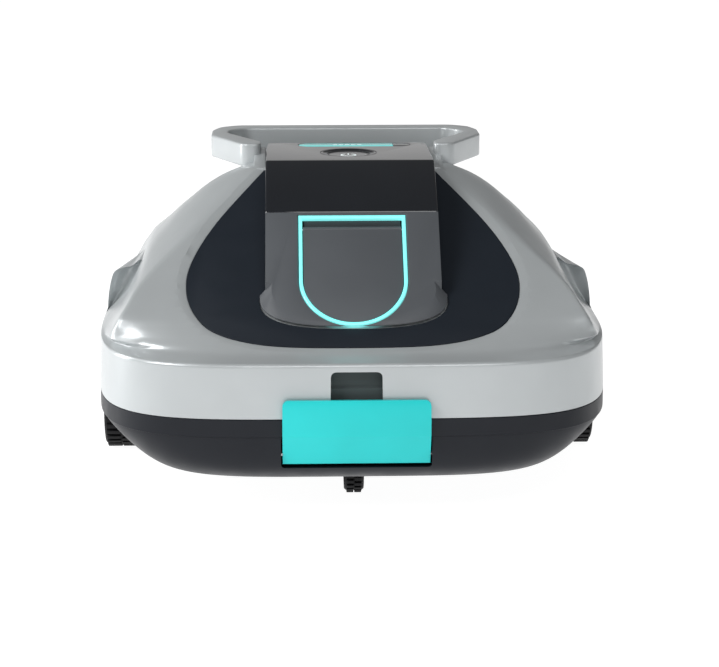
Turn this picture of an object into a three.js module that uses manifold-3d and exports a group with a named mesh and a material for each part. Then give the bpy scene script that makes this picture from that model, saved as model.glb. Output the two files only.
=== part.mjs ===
// Cordless robotic pool cleaner: a boat-shaped body on two side rollers and two centre wheels.
// Millimetres. +X right, +Y to the rear, +Z up. The origin is on the ground under the middle of the body.
// The rear half repeats the front half turned half a turn about Z, apart from the handle, button and light.
import * as THREE from 'three';
import { mergeVertices } from 'three/addons/utils/BufferGeometryUtils.js';
import Module from 'manifold-3d';

const wasm = await Module();
wasm.setup();

// Driving dimensions
const BODY_WIDTH = 345; // across the seam between hull and shell
const BODY_LENGTH = 390; // along the seam
const UNDERSIDE_Z = 16; // flat underside above the ground
const ROLLER_RADIUS = 29;
const BAND_HEIGHT = 36; // upright band around the shell, from the seam to the crease
const SLOPE_HEIGHT = 99; // crease to shoulder
const HUMP_WIDTH = 116.5;
const HUMP_RISE = 9.5; // hump's top above the shoulder
const HANDLE_DEPTH = 16.5;
const HANDLE_BAR = 16.5; // width of the grip bar
const WALL = 3;
const GAP = 0.3; // between parts that touch
const RUNNING_GAP = 0.4; // around parts that turn

const ROLLER_PROUD = 3; // reach of the rollers beyond the seam
const ROLLER_WIDTH = 23.5;
const WHEEL_RADIUS = 21;
const WHEEL_WIDTH = 13.5;
const INTAKE_WIDTH = 150;
const INTAKE_LENGTH = 40;
const OUTLET_WIDTH = 72; // outside of the outlet frame
const FRAME_LINE = 2.5; // width of the outlet frame's line
const BUTTON_RADIUS = 14;
const LATCH_WIDTH = 95;

const HALF_WIDTH = BODY_WIDTH / 2;
const HALF_LENGTH = BODY_LENGTH / 2;
const HUMP_HALF = HUMP_WIDTH / 2;
const SEAM_Z = 2 * ROLLER_RADIUS + 12; // hull meets shell, above the roller wells
const CREASE_Z = SEAM_Z + BAND_HEIGHT;
const SHOULDER_Z = CREASE_Z + SLOPE_HEIGHT; // top of the shell beside the hump
const HUMP_TOP_Z = SHOULDER_Z + HUMP_RISE;
const HANDLE_TOP_Z = HUMP_TOP_Z + 3.5;
const ROLLER_OUTER_X = HALF_WIDTH + ROLLER_PROUD;
const WHEEL_Y = HALF_LENGTH - 73.4;
const DUCT_BORE_RADIUS = OUTLET_WIDTH / 2 - 6;
const RING_STEPS = 40; // facets around the body

// ---------- solids ----------

function solid(geometry) {
  const bare = geometry.clone();
  bare.deleteAttribute('normal');
  bare.deleteAttribute('uv');
  const welded = mergeVertices(bare, 1e-4);
  const vertProperties = new Float32Array(welded.attributes.position.array);
  const triVerts = new Uint32Array(withoutSlivers(welded.index.array));
  let shape = new wasm.Manifold(new wasm.Mesh({ numProp: 3, vertProperties, triVerts }));
  if (shape.volume() < 0) {
    shape = new wasm.Manifold(new wasm.Mesh({ numProp: 3, vertProperties, triVerts: triVerts.reverse() }));
  }
  return shape;
}

function withoutSlivers(corners) {
  const kept = [];
  for (let i = 0; i < corners.length; i += 3) {
    const [a, b, c] = corners.slice(i, i + 3);
    if (a !== b && b !== c && a !== c) kept.push(a, b, c);
  }
  return kept;
}

function geometryOf(shape) {
  const mesh = shape.getMesh();
  const geometry = new THREE.BufferGeometry();
  const places = new Float32Array(mesh.numVert * 3);
  for (let i = 0; i < mesh.numVert; i += 1) {
    for (let k = 0; k < 3; k += 1) places[i * 3 + k] = mesh.vertProperties[i * mesh.numProp + k];
  }
  geometry.setAttribute('position', new THREE.BufferAttribute(places, 3));
  geometry.setIndex(new THREE.BufferAttribute(new Uint32Array(mesh.triVerts), 1));
  geometry.computeVertexNormals();
  return geometry;
}

function join(...shapes) {
  return shapes.reduce((whole, shape) => whole.add(shape));
}

function cut(shape, ...tools) {
  return tools.reduce((whole, tool) => whole.subtract(tool), shape);
}

function moved(shape, matrix) {
  return solid(geometryOf(shape).applyMatrix4(matrix));
}

function block(x0, x1, y0, y1, z0, z1) {
  const geometry = new THREE.BoxGeometry(x1 - x0, y1 - y0, z1 - z0);
  return solid(geometry.translate((x0 + x1) / 2, (y0 + y1) / 2, (z0 + z1) / 2));
}

// A block centred on X and Y
function slab(halfX, halfY, z0, z1) {
  return block(-halfX, halfX, -halfY, halfY, z0, z1);
}

function shapeOf(points) {
  return new THREE.Shape(points.map(([x, y]) => new THREE.Vector2(x, y)));
}

// An outline in X and Y, raised from z0 to z1
function prism(points, z0, z1) {
  const geometry = new THREE.ExtrudeGeometry(shapeOf(points), { depth: z1 - z0, bevelEnabled: false });
  return solid(geometry.translate(0, 0, z0));
}

// An outline in Y and Z, drawn along X from x0 to x1
function drawnAlongX(points, x0, x1) {
  const geometry = new THREE.ExtrudeGeometry(shapeOf(points), { depth: x1 - x0, bevelEnabled: false });
  const turn = new THREE.Matrix4().makeBasis(
    new THREE.Vector3(0, 1, 0),
    new THREE.Vector3(0, 0, 1),
    new THREE.Vector3(1, 0, 0),
  );
  return solid(geometry.applyMatrix4(turn).translate(x0, 0, 0));
}

// A profile of radius and height turned about Z
function turned(profile, steps = 20) {
  const points = profile.map(([radius, height]) => new THREE.Vector2(radius, height));
  const geometry = new THREE.LatheGeometry(points, steps);
  return solid(geometry.rotateX(Math.PI / 2));
}

function rod(radius, z0, z1, steps = 16) {
  return turned([[0, z0], [radius, z0], [radius, z1], [0, z1]], steps);
}

function tube(radius, bore, z0, z1, steps = 20) {
  return turned([[bore, z0], [radius, z0], [radius, z1], [bore, z1], [bore, z0]], steps);
}

const ALONG_X = new THREE.Matrix4().makeRotationY(Math.PI / 2);
const HALF_TURN = new THREE.Matrix4().makeRotationZ(Math.PI);

function shift(x, y, z) {
  return new THREE.Matrix4().makeTranslation(x, y, z);
}

// A rod parallel to X through y, z
function crossRod(radius, x0, x1, y, z, steps = 12) {
  return moved(rod(radius, x0, x1, steps), shift(0, y, z).multiply(ALONG_X));
}

function mirroredInX(points) {
  const other = points.filter(([x]) => x > 0).map(([x, y]) => [-x, y]).reverse();
  return [...points, ...other];
}

// The outline moved outwards by a distance, corner by corner
function grown(points, distance) {
  const area = points.reduce((sum, [x, y], i) => {
    const [u, v] = points[(i + 1) % points.length];
    return sum + x * v - u * y;
  }, 0);
  const side = Math.sign(area) * distance;
  return points.map(([x, y], i) => {
    const [px, py] = points[(i + points.length - 1) % points.length];
    const [nx, ny] = points[(i + 1) % points.length];
    const before = new THREE.Vector2(y - py, px - x).normalize();
    const after = new THREE.Vector2(ny - y, x - nx).normalize();
    const middle = before.clone().add(after).normalize();
    const reach = side / Math.max(middle.dot(before), 0.5);
    return [x + middle.x * reach, y + middle.y * reach];
  });
}

// An arc's points in the plane, from one angle to another in degrees
function arc(cx, cy, radius, from, to, steps) {
  return Array.from({ length: steps + 1 }, (_, i) => {
    const angle = THREE.MathUtils.degToRad(from + ((to - from) * i) / steps);
    return [cx + radius * Math.cos(angle), cy + radius * Math.sin(angle)];
  });
}

// ---------- the body's level curves ----------

// A level is a closed curve |x/a|^p + |y/b|^q = 1 at height z
function lofted(levels, steps = RING_STEPS) {
  const last = levels.length - 1;
  const profile = [[0, 0], ...levels.map((_, i) => [1, i]), [0, last]];
  const points = profile.map(([radius, height]) => new THREE.Vector2(radius, height));
  const geometry = new THREE.LatheGeometry(points, steps);
  const place = geometry.attributes.position;
  for (let i = 0; i < place.count; i += 1) {
    const level = levels[Math.round(place.getY(i))];
    const share = Math.hypot(place.getX(i), place.getZ(i));
    const step = Math.round((Math.atan2(place.getZ(i), place.getX(i)) * steps) / (2 * Math.PI));
    const angle = (step * 2 * Math.PI) / steps;
    const [x, y] = levelPoint(level, angle);
    place.setXYZ(i, x * share, y * share, level.z);
  }
  return solid(geometry);
}

function levelPoint({ a, b, p, q }, angle) {
  const c = Math.round(Math.cos(angle) * 1e9) / 1e9;
  const s = Math.round(Math.sin(angle) * 1e9) / 1e9;
  return [a * Math.sign(c) * Math.abs(c) ** (2 / p), b * Math.sign(s) * Math.abs(s) ** (2 / q)];
}

// The end slopes rise from a foot just inside the crease to the shoulder
const SLOPE_FOOT_Y = HALF_LENGTH - 22.4;
const SLOPE_FOOT_Z = CREASE_Z + 2.6;
const SHOULDER_HALF_LENGTH = 15;
const SLOPE_RISE = (SHOULDER_Z - SLOPE_FOOT_Z) / (SLOPE_FOOT_Y - SHOULDER_HALF_LENGTH);

function slopeZ(y) {
  return SLOPE_FOOT_Z + (SLOPE_FOOT_Y - Math.abs(y)) * SLOPE_RISE;
}

function slopeY(z) {
  return SLOPE_FOOT_Y - (z - SLOPE_FOOT_Z) / SLOPE_RISE;
}

// The side swells. Each row is a share of the rise from crease to shoulder, how far that height lies inside
// the seam out of the last row's inset, and the exponent that squares off its ends
const SIDE_SWELL = [
  [0.03, 3, 5.2],
  [0.09, 11.5, 9],
  [0.18, 18.5, 18],
  [0.34, 25, 26],
  [0.455, 31, 26],
  [0.566, 41, 26],
  [0.717, 55.7, 26],
  [0.93, 83.5, 26],
  [1, 105.5, 26],
];
const SQUARE = 4.6; // exponent of the rounded outline at the seam
const SWELL_SIDE = 4.5;
const COLLAR_WIDTH = 8.75; // shell's flat strip beside the hump
const SHOULDER_INSET = HALF_WIDTH - HUMP_HALF - COLLAR_WIDTH;

function shellLevels(inset, drop) {
  const levels = [
    { z: SEAM_Z + GAP, a: HALF_WIDTH, b: HALF_LENGTH, p: SQUARE, q: SQUARE },
    { z: CREASE_Z, a: HALF_WIDTH - 1, b: HALF_LENGTH - 1.5, p: SQUARE, q: SQUARE },
  ];
  const stretch = SHOULDER_INSET / SIDE_SWELL.at(-1)[1];
  for (const [share, within, p] of SIDE_SWELL) {
    const z = CREASE_Z + share * (SHOULDER_Z - CREASE_Z);
    levels.push({ z, a: HALF_WIDTH - within * stretch, b: slopeY(z), p, q: SWELL_SIDE });
  }
  return levels.map(({ z, a, b, p, q }, i) => ({ z: i ? z - drop : z, a: a - inset, b: b - inset, p, q }));
}

// Below its upright rim the hull slopes in evenly at the sides and turns under in a soft curve at the ends
const RIM_HEIGHT = 12;
const SIDE_TAPER = 45;
const SIDE_TAPER_POWER = 1.18;
const END_TAPER = 74;
const END_TAPER_POWER = 4.8;
const RIM_STEP = 0.5;
const HULL_SHARES = [0, 0.03, 0.08, 0.15, 0.24, 0.36, 0.52, 0.74, 1];

function hullLevels(inset, lift) {
  const rise = SEAM_Z - RIM_HEIGHT - UNDERSIDE_Z;
  const levels = HULL_SHARES.map((share) => ({
    z: UNDERSIDE_Z + share * rise,
    a: HALF_WIDTH - RIM_STEP - SIDE_TAPER * (1 - share) ** SIDE_TAPER_POWER,
    b: HALF_LENGTH - RIM_STEP - END_TAPER * (1 - share) ** END_TAPER_POWER,
    p: SQUARE,
    q: SQUARE,
  }));
  levels.push({ z: SEAM_Z, a: HALF_WIDTH, b: HALF_LENGTH, p: SQUARE, q: SQUARE });
  return levels.map(({ z, a, b, p, q }) => ({ z: z + lift, a: a - inset, b: b - inset, p, q }));
}

function ringAt(z0, z1, outset, width) {
  const outer = { a: HALF_WIDTH + outset, b: HALF_LENGTH + outset, p: SQUARE, q: SQUARE };
  const inner = { a: outer.a - width, b: outer.b - width, p: SQUARE, q: SQUARE };
  const hole = [{ z: z0 - 1, ...inner }, { z: z1 + 1, ...inner }];
  return cut(lofted([{ z: z0, ...outer }, { z: z1, ...outer }]), lofted(hole));
}

// ---------- hump outlines ----------

const CREST_HALF_LENGTH = HALF_LENGTH * 0.22564; // flat top of the hump
const OUTLET_TOP_Y = 2 * CREST_HALF_LENGTH; // where the outlet face starts
const OUTLET_TOP_Z = HUMP_TOP_Z - 28.5;
const OUTLET_FOOT_Y = SLOPE_FOOT_Y - 20.2;
const APRON_EDGE = 1.5; // thickness of the apron's lower edge
const OUTLET_FOOT_Z = slopeZ(OUTLET_FOOT_Y) + APRON_EDGE;
const APRON_Y = OUTLET_FOOT_Y - 24.9; // the outlet cover's sides end here in the rounded apron
const APRON_HALF = HUMP_HALF + 3.75;
const FACE_TILT = Math.atan2(OUTLET_TOP_Z - OUTLET_FOOT_Z, OUTLET_FOOT_Y - OUTLET_TOP_Y);
const FACE_LENGTH = Math.hypot(OUTLET_TOP_Z - OUTLET_FOOT_Z, OUTLET_FOOT_Y - OUTLET_TOP_Y);
const OUTLET_LENGTH = FACE_LENGTH - 2.4;

// Rounded tongue of the apron at the front, seen from above
function apronOutline(inset) {
  const level = { a: APRON_HALF - inset, b: OUTLET_FOOT_Y - APRON_Y - inset, p: 2.8, q: 2.8 };
  return arc(0, 0, 1, 0, -180, 14).map(([c, s]) => {
    const [x, y] = levelPoint(level, Math.atan2(s, c));
    return [x, y - APRON_Y];
  });
}

function humpTopLine(drop) {
  const bulge = 1.5;
  const rear = [
    [CREST_HALF_LENGTH, HUMP_TOP_Z],
    [(2 * CREST_HALF_LENGTH + OUTLET_TOP_Y) / 3, (2 * HUMP_TOP_Z + OUTLET_TOP_Z) / 3 + bulge],
    [(CREST_HALF_LENGTH + 2 * OUTLET_TOP_Y) / 3, (HUMP_TOP_Z + 2 * OUTLET_TOP_Z) / 3 + bulge],
    [OUTLET_TOP_Y, OUTLET_TOP_Z],
  ];
  const front = rear.map(([y, z]) => [-y, z]).reverse();
  return [...front, ...rear].map(([y, z]) => [y, z - drop]);
}

// ---------- frames on the tilted faces ----------

// Front outlet face: local x is X, local y runs up the face from its top edge, local z points out
const OUTLET_FACE = shift(0, -OUTLET_TOP_Y, OUTLET_TOP_Z).multiply(new THREE.Matrix4().makeRotationX(FACE_TILT));

const OUTLET_MARGIN = 3; // from the crease to the outlet frame
const OUTLET_HALF = OUTLET_WIDTH / 2;
const OUTLET_ROUND_Y = -(OUTLET_MARGIN + OUTLET_LENGTH - OUTLET_HALF);
const LEDGE = 5.5; // recessed strip above the flap

// Square top, half-round bottom
function outletOutline(inset, topInset = inset) {
  const half = OUTLET_HALF - inset;
  const top = -OUTLET_MARGIN - topInset;
  return [[half, top], [-half, top], ...arc(0, OUTLET_ROUND_Y, half, 180, 360, 12)];
}

const DUCT_Y = OUTLET_ROUND_Y + 7; // middle of the duct down the face
const DUCT_AXIS = OUTLET_FACE.clone().multiply(shift(0, DUCT_Y, 0));
const COVER_WALL = 3;

// ---------- lower body ----------

const FLOOR_TOP_Z = UNDERSIDE_Z + WALL;
const ROLLER_INNER_X = ROLLER_OUTER_X - ROLLER_WIDTH;
const WELL_CLEARANCE = 3.5;
const ROLLER_WELL_X = ROLLER_INNER_X - 3;
const AXLE_RADIUS = 4;
const AXLE_BOSS = 12; // length of the bearing on the hull's flank
const AXLE_BOSS_WALL = 6;
const WHEEL_AXLE_RADIUS = 2;
const LATCH_PIN_Z = SEAM_Z - 25;
const LATCH_PIN_Y = HALF_LENGTH - 9;
const LATCH_PIN_RADIUS = 1.6;
const LATCH_HEEL = 6.5; // reach of the latch below its pin

function rollerWell(side, wall) {
  const reach = ROLLER_RADIUS + WELL_CLEARANCE + wall;
  const inner = ROLLER_WELL_X - wall;
  const outer = HALF_WIDTH + 10;
  const [x0, x1] = side > 0 ? [inner, outer] : [-outer, -inner];
  return block(x0, x1, -reach, reach, -1, ROLLER_RADIUS * 2 + WELL_CLEARANCE + wall);
}

function wheelWell(side, wall) {
  const halfX = WHEEL_WIDTH / 2 + 2 + wall;
  const halfY = WHEEL_RADIUS + 2.5 + wall;
  const top = WHEEL_RADIUS * 2 + 2.5 + wall;
  return block(-halfX, halfX, side * WHEEL_Y - halfY, side * WHEEL_Y + halfY, UNDERSIDE_Z - 1, top);
}

function latchRecess(side, wall) {
  const halfX = LATCH_WIDTH / 2 + 1 + wall;
  const radius = LATCH_HEEL + 1.5 + wall;
  const barrel = crossRod(radius, -halfX, halfX, side * LATCH_PIN_Y, LATCH_PIN_Z);
  const inner = LATCH_PIN_Y - wall;
  const outer = LATCH_FRONT_Y + 20;
  const [y0, y1] = side > 0 ? [inner, outer] : [-outer, -inner];
  return join(barrel, block(-halfX, halfX, y0, y1, LATCH_PIN_Z - radius, LATCH_CREASE_Z + wall));
}

function lowerHull() {
  const outer = lofted(hullLevels(0, 0));
  const bay = cut(outer, lofted(hullLevels(WALL + 1.5, WALL)));
  const solids = [];
  const cuts = [];
  for (const side of [-1, 1]) {
    solids.push(rollerWell(side, WALL), wheelWell(side, WALL), latchRecess(side, WALL));
    cuts.push(rollerWell(side, 0), wheelWell(side, 0), latchRecess(side, 0), brushSlot(side));
    const axleHole = AXLE_RADIUS + GAP;
    const wallX = side * (ROLLER_WELL_X - WALL / 2);
    cuts.push(crossRod(axleHole, wallX - 8, wallX + 8, 0, ROLLER_RADIUS));
    const wheelHoleX = WHEEL_WIDTH / 2 + 2 + WALL;
    cuts.push(crossRod(WHEEL_AXLE_RADIUS + GAP, -wheelHoleX - 1, wheelHoleX + 1, side * WHEEL_Y, WHEEL_RADIUS));
    const pinHoleX = LATCH_WIDTH / 2 + 1 + WALL;
    cuts.push(crossRod(LATCH_PIN_RADIUS + GAP, -pinHoleX + 1, pinHoleX - 1, side * LATCH_PIN_Y, LATCH_PIN_Z));
  }
  const bosses = [-1, 1].map((side) => {
    const start = side * (ROLLER_WELL_X - AXLE_BOSS);
    const end = side * ROLLER_WELL_X;
    return crossRod(AXLE_RADIUS + AXLE_BOSS_WALL, Math.min(start, end), Math.max(start, end), 0, ROLLER_RADIUS);
  });
  const walls = join(join(...solids).intersect(outer), ...bosses);
  const groove = ringAt(SEAM_Z - SEAL_DEPTH, SEAM_Z + 1, -SEAL_INSET + GAP, SEAL_WIDTH + 2 * GAP);
  const intake = slab(INTAKE_WIDTH / 2, INTAKE_LENGTH / 2, 0, FLOOR_TOP_Z + 1);
  const holes = screwPlaces().map(([x, y]) => moved(rod(SCREW_RADIUS + GAP, SCREW_TIP_Z - GAP, 40), shift(x, y, 0)));
  return cut(join(bay, walls), ...cuts, groove, intake, ...holes);
}

const SEAL_INSET = 1.2;
const SEAL_WIDTH = 1.8;
const SEAL_DEPTH = 2;

function rimSeal() {
  return ringAt(SEAM_Z - SEAL_DEPTH + GAP, SEAM_Z, -SEAL_INSET, SEAL_WIDTH);
}

const THROAT_WALL = 2;
const THROAT_TOP_Z = 23.6;
const FLANGE_REACH = 9;
const FLANGE_THICKNESS = 2;
const SCREW_RADIUS = 1.3;
const SCREW_TIP_Z = UNDERSIDE_Z + 1;
const SCREW_SEAT_Z = FLOOR_TOP_Z + GAP + FLANGE_THICKNESS + GAP;

function screwPlaces() {
  const x = INTAKE_WIDTH / 2 + FLANGE_REACH / 2;
  const y = INTAKE_LENGTH / 2 - 6;
  return [[-x, -y], [x, -y], [-x, y], [x, y]];
}

function intakeThroat() {
  const halfX = INTAKE_WIDTH / 2 - GAP;
  const halfY = INTAKE_LENGTH / 2 - GAP;
  const pipe = slab(halfX, halfY, UNDERSIDE_Z, THROAT_TOP_Z);
  const base = FLOOR_TOP_Z + GAP;
  const flange = slab(halfX + FLANGE_REACH, halfY + FLANGE_REACH, base, base + FLANGE_THICKNESS);
  const holes = screwPlaces().map(([x, y]) => moved(rod(SCREW_RADIUS + GAP, 0, 40), shift(x, y, 0)));
  return cut(join(pipe, flange), slab(halfX - THROAT_WALL, halfY - THROAT_WALL, 0, 40), ...holes);
}

function throatScrew([x, y]) {
  const headRadius = 2.7;
  const head = SCREW_SEAT_Z;
  const profile = [[0, SCREW_TIP_Z], [SCREW_RADIUS, SCREW_TIP_Z], [SCREW_RADIUS, head], [headRadius, head]];
  profile.push([headRadius, head + 1.2], [0, head + 1.2]);
  return moved(turned(profile, 10), shift(x, y, 0));
}

const BRUSH_Y = INTAKE_LENGTH / 2 + 14;
const BRUSH_HALF = INTAKE_WIDTH / 2 + 5;
const BRUSH_FOOT = 2.7; // half the width of the strip's root in its slot
const BRUSH_TIP_Z = 3;

function brushSlot(side) {
  const halfX = BRUSH_HALF + GAP;
  const halfY = BRUSH_FOOT + GAP;
  return block(-halfX, halfX, side * BRUSH_Y - halfY, side * BRUSH_Y + halfY, 0, FLOOR_TOP_Z + 1);
}

// A rubber strip hung through a slot in the floor by its flange
function brushStrip(side) {
  const y = side * BRUSH_Y;
  const seat = FLOOR_TOP_Z + GAP;
  const flange = block(-BRUSH_HALF - 2, BRUSH_HALF + 2, y - 5, y + 5, seat, seat + 1.6);
  const root = block(-BRUSH_HALF, BRUSH_HALF, y - BRUSH_FOOT, y + BRUSH_FOOT, UNDERSIDE_Z - 1, seat + 1);
  const blade = block(-BRUSH_HALF, BRUSH_HALF, y - 1.5, y + 1.5, BRUSH_TIP_Z, UNDERSIDE_Z);
  return join(flange, root, blade);
}

// ---------- wheels ----------

const AXLE_HEAD_RADIUS = 7.5;
const AXLE_HEAD = 2.8;

function roller(side) {
  const bore = AXLE_RADIUS + RUNNING_GAP;
  const seat = ROLLER_WIDTH - AXLE_HEAD - 1.5;
  const edge = ROLLER_RADIUS - 1.5;
  const profile = [[bore, 0], [edge, 0], [ROLLER_RADIUS, 1.5], [ROLLER_RADIUS, ROLLER_WIDTH - 1.5], [edge, ROLLER_WIDTH]];
  const recess = AXLE_HEAD_RADIUS + RUNNING_GAP;
  profile.push([recess, ROLLER_WIDTH], [recess, seat], [bore, seat], [bore, 0]);
  const outwards = new THREE.Matrix4().makeRotationY((side * Math.PI) / 2);
  return moved(turned(profile, 28), shift(side * ROLLER_INNER_X, 0, ROLLER_RADIUS).multiply(outwards));
}

function rollerAxle(side) {
  const start = -(3 + WALL + 4);
  const seat = ROLLER_WIDTH - AXLE_HEAD - 1.5 + RUNNING_GAP;
  const profile = [[0, start], [AXLE_RADIUS, start], [AXLE_RADIUS, seat], [AXLE_HEAD_RADIUS, seat]];
  profile.push([AXLE_HEAD_RADIUS, seat + AXLE_HEAD], [0, seat + AXLE_HEAD]);
  const outwards = new THREE.Matrix4().makeRotationY((side * Math.PI) / 2);
  return moved(turned(profile, 16), shift(side * ROLLER_INNER_X, 0, ROLLER_RADIUS).multiply(outwards));
}

function centreWheel(side) {
  const half = WHEEL_WIDTH / 2;
  const bore = WHEEL_AXLE_RADIUS + RUNNING_GAP;
  const edge = WHEEL_RADIUS - 1.6;
  const profile = [[bore, -half], [edge, -half], [WHEEL_RADIUS, 2 - half], [WHEEL_RADIUS, half - 2], [edge, half]];
  profile.push([bore, half], [bore, -half]);
  return moved(turned(profile, 24), shift(0, side * WHEEL_Y, WHEEL_RADIUS).multiply(ALONG_X));
}

function centreAxle(side) {
  const half = WHEEL_WIDTH / 2 + 2 + WALL;
  return crossRod(WHEEL_AXLE_RADIUS, -half, half, side * WHEEL_Y, WHEEL_RADIUS);
}

// ---------- latches ----------

const LATCH_BOTTOM_Z = LATCH_PIN_Z - 5.4;
const LATCH_TOP_Z = SEAM_Z + 13.2;
const LATCH_CREASE_Z = SEAM_Z - 10.5;
const LATCH_FRONT_Y = HALF_LENGTH + 4.2;
const LATCH_THICKNESS = 3.4;
const NOTCH_HALF = 16.5;
const NOTCH_TOP_Z = CREASE_Z - 5.4;
const NOTCH_DEPTH = 9;
const HOOK_REACH = 2;

// The front latch: a bent plate on a pin, with a shallow hook behind its top edge
function frontLatch() {
  const face = -LATCH_FRONT_Y;
  const back = face + LATCH_THICKNESS;
  const heelFace = -LATCH_PIN_Y - 5;
  const heelBack = -LATCH_PIN_Y + 2.5;
  const outline = [
    [heelBack, LATCH_BOTTOM_Z],
    [heelBack, LATCH_PIN_Z + 3],
    [back, LATCH_CREASE_Z],
    [back, LATCH_TOP_Z - 0.5],
    [face + 1.2, LATCH_TOP_Z],
    [face + 0.3, LATCH_TOP_Z - 1.2],
    [face, LATCH_CREASE_Z],
    [heelFace, LATCH_BOTTOM_Z],
  ];
  const half = LATCH_WIDTH / 2;
  const plate = drawnAlongX(outline, -half, half);
  const hook = block(1 - NOTCH_HALF, NOTCH_HALF - 1, back - 1, back + HOOK_REACH, LATCH_TOP_Z - 4, LATCH_TOP_Z - 1);
  const bore = crossRod(LATCH_PIN_RADIUS + RUNNING_GAP, -half - 1, half + 1, -LATCH_PIN_Y, LATCH_PIN_Z);
  return cut(join(plate, hook), bore);
}

function frontLatchPin() {
  const half = LATCH_WIDTH / 2 + WALL - 1;
  return crossRod(LATCH_PIN_RADIUS, -half, half, -LATCH_PIN_Y, LATCH_PIN_Z);
}

// ---------- filter tray ----------

const TRAY_HALF_X = HALF_WIDTH - 50;
const TRAY_HALF_Y = WHEEL_Y - WHEEL_RADIUS - 2.5 - WALL - 2.5;
const TRAY_BOTTOM_Z = THROAT_TOP_Z + 1.4;
const TRAY_TOP_Z = SEAM_Z - 4;
const TRAY_WALL = 2;
const FLAP_THICKNESS = 1.2;
const INTAKE_FLAP_Z = TRAY_BOTTOM_Z + TRAY_WALL + GAP;

function filterFrame() {
  const box = slab(TRAY_HALF_X, TRAY_HALF_Y, TRAY_BOTTOM_Z, TRAY_TOP_Z);
  const rim = slab(TRAY_HALF_X + 4, TRAY_HALF_Y, TRAY_TOP_Z - 2, TRAY_TOP_Z);
  const inside = slab(TRAY_HALF_X - TRAY_WALL, TRAY_HALF_Y - TRAY_WALL, TRAY_BOTTOM_Z + TRAY_WALL, TRAY_TOP_Z + 1);
  const mouth = slab(INTAKE_WIDTH / 2 - 3, INTAKE_LENGTH / 2 - 3, 0, TRAY_TOP_Z);
  return cut(join(box, rim), inside, mouth);
}

function filterScreen() {
  return slab(TRAY_HALF_X + 3, TRAY_HALF_Y - 0.5, TRAY_TOP_Z + GAP, TRAY_TOP_Z + GAP + 1.5);
}

function frontIntakeFlap() {
  const half = INTAKE_WIDTH / 2 - 1;
  return block(-half, half, -INTAKE_LENGTH / 2, -GAP, INTAKE_FLAP_Z, INTAKE_FLAP_Z + FLAP_THICKNESS);
}

// ---------- upper shell ----------

const INLAY_DEPTH = 2;
const COLLAR_TOP_Z = SHOULDER_Z + 7.5;
const COLLAR_HALF = HALF_WIDTH - SHOULDER_INSET;
const COLLAR_REAR_Y = 36;

// Teardrop outline of the front inlay, from the hump's edge round the foot of the slope
function inlayOutline() {
  const foot = -SLOPE_FOOT_Y;
  const half = new THREE.SplineCurve([
    new THREE.Vector2(HUMP_HALF + 1.5, foot + 157),
    new THREE.Vector2(HUMP_HALF + 33.5, foot + 110),
    new THREE.Vector2(HUMP_HALF + 49.5, foot + 76),
    new THREE.Vector2(HUMP_HALF + 52.5, foot + 52),
    new THREE.Vector2(HUMP_HALF + 45.5, foot + 31),
    new THREE.Vector2(HUMP_HALF + 30, foot + 16.5),
    new THREE.Vector2(HUMP_HALF - 3.5, foot + 7.5),
    new THREE.Vector2(0, foot + 5.6),
  ]);
  const right = half.getSpacedPoints(12).map(({ x, y }) => [x, y]);
  right[right.length - 1][0] = 0;
  return mirroredInX(right);
}

// Layer of the front slope between two depths under its surface
function slopeLayer(depth0, depth1) {
  const ends = [-SLOPE_FOOT_Y - 10, -SHOULDER_HALF_LENGTH + 8];
  const outline = [
    [ends[0], slopeZ(ends[0]) - depth0],
    [ends[1], slopeZ(ends[1]) - depth0],
    [ends[1], slopeZ(ends[1]) - depth1],
    [ends[0], slopeZ(ends[0]) - depth1],
  ];
  return drawnAlongX(outline, -HALF_WIDTH, HALF_WIDTH);
}

// Footprint of the hump from above, with its apron tongues
function humpFootprint(inset, z0, z1) {
  const middle = slab(HUMP_HALF - inset, APRON_Y + 1, z0, z1);
  const front = prism(apronOutline(inset), z0, z1);
  return join(middle, front, moved(front, HALF_TURN));
}

function frontInlay() {
  const plate = prism(inlayOutline(), CREASE_Z, SHOULDER_Z + 10).intersect(slopeLayer(0, INLAY_DEPTH));
  const top = block(-HALF_WIDTH, HALF_WIDTH, -SHOULDER_HALF_LENGTH - 0.5, HALF_LENGTH, 0, HANDLE_TOP_Z);
  return cut(plate, humpFootprint(-GAP, 0, HANDLE_TOP_Z), top);
}

function notch() {
  const outline = [
    [NOTCH_HALF, SEAM_Z - 5],
    [NOTCH_HALF, NOTCH_TOP_Z - 3],
    [NOTCH_HALF - 3, NOTCH_TOP_Z],
    [3 - NOTCH_HALF, NOTCH_TOP_Z],
    [-NOTCH_HALF, NOTCH_TOP_Z - 3],
    [-NOTCH_HALF, SEAM_Z - 5],
  ];
  const upright = new THREE.Matrix4().makeRotationX(Math.PI / 2);
  return moved(prism(outline, HALF_LENGTH - NOTCH_DEPTH, HALF_LENGTH + 20), upright);
}

function notchBacking() {
  const half = NOTCH_HALF + WALL;
  const y = -HALF_LENGTH + NOTCH_DEPTH + WALL;
  return block(-half, half, -HALF_LENGTH, y, SEAM_Z + GAP, NOTCH_TOP_Z + WALL);
}

function collars() {
  const outline = [
    [-SHOULDER_HALF_LENGTH, SHOULDER_Z - 0.5],
    [COLLAR_REAR_Y - 8, COLLAR_TOP_Z],
    [COLLAR_REAR_Y, COLLAR_TOP_Z],
    [COLLAR_REAR_Y, slopeZ(COLLAR_REAR_Y) - 2],
    [SHOULDER_HALF_LENGTH, SHOULDER_Z - 2],
    [-SHOULDER_HALF_LENGTH, SHOULDER_Z - 2],
  ];
  const inner = HUMP_HALF + GAP;
  return join(drawnAlongX(outline, inner, COLLAR_HALF), drawnAlongX(outline, -COLLAR_HALF, -inner));
}

function shellOuter() {
  return lofted(shellLevels(0, 0));
}

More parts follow.
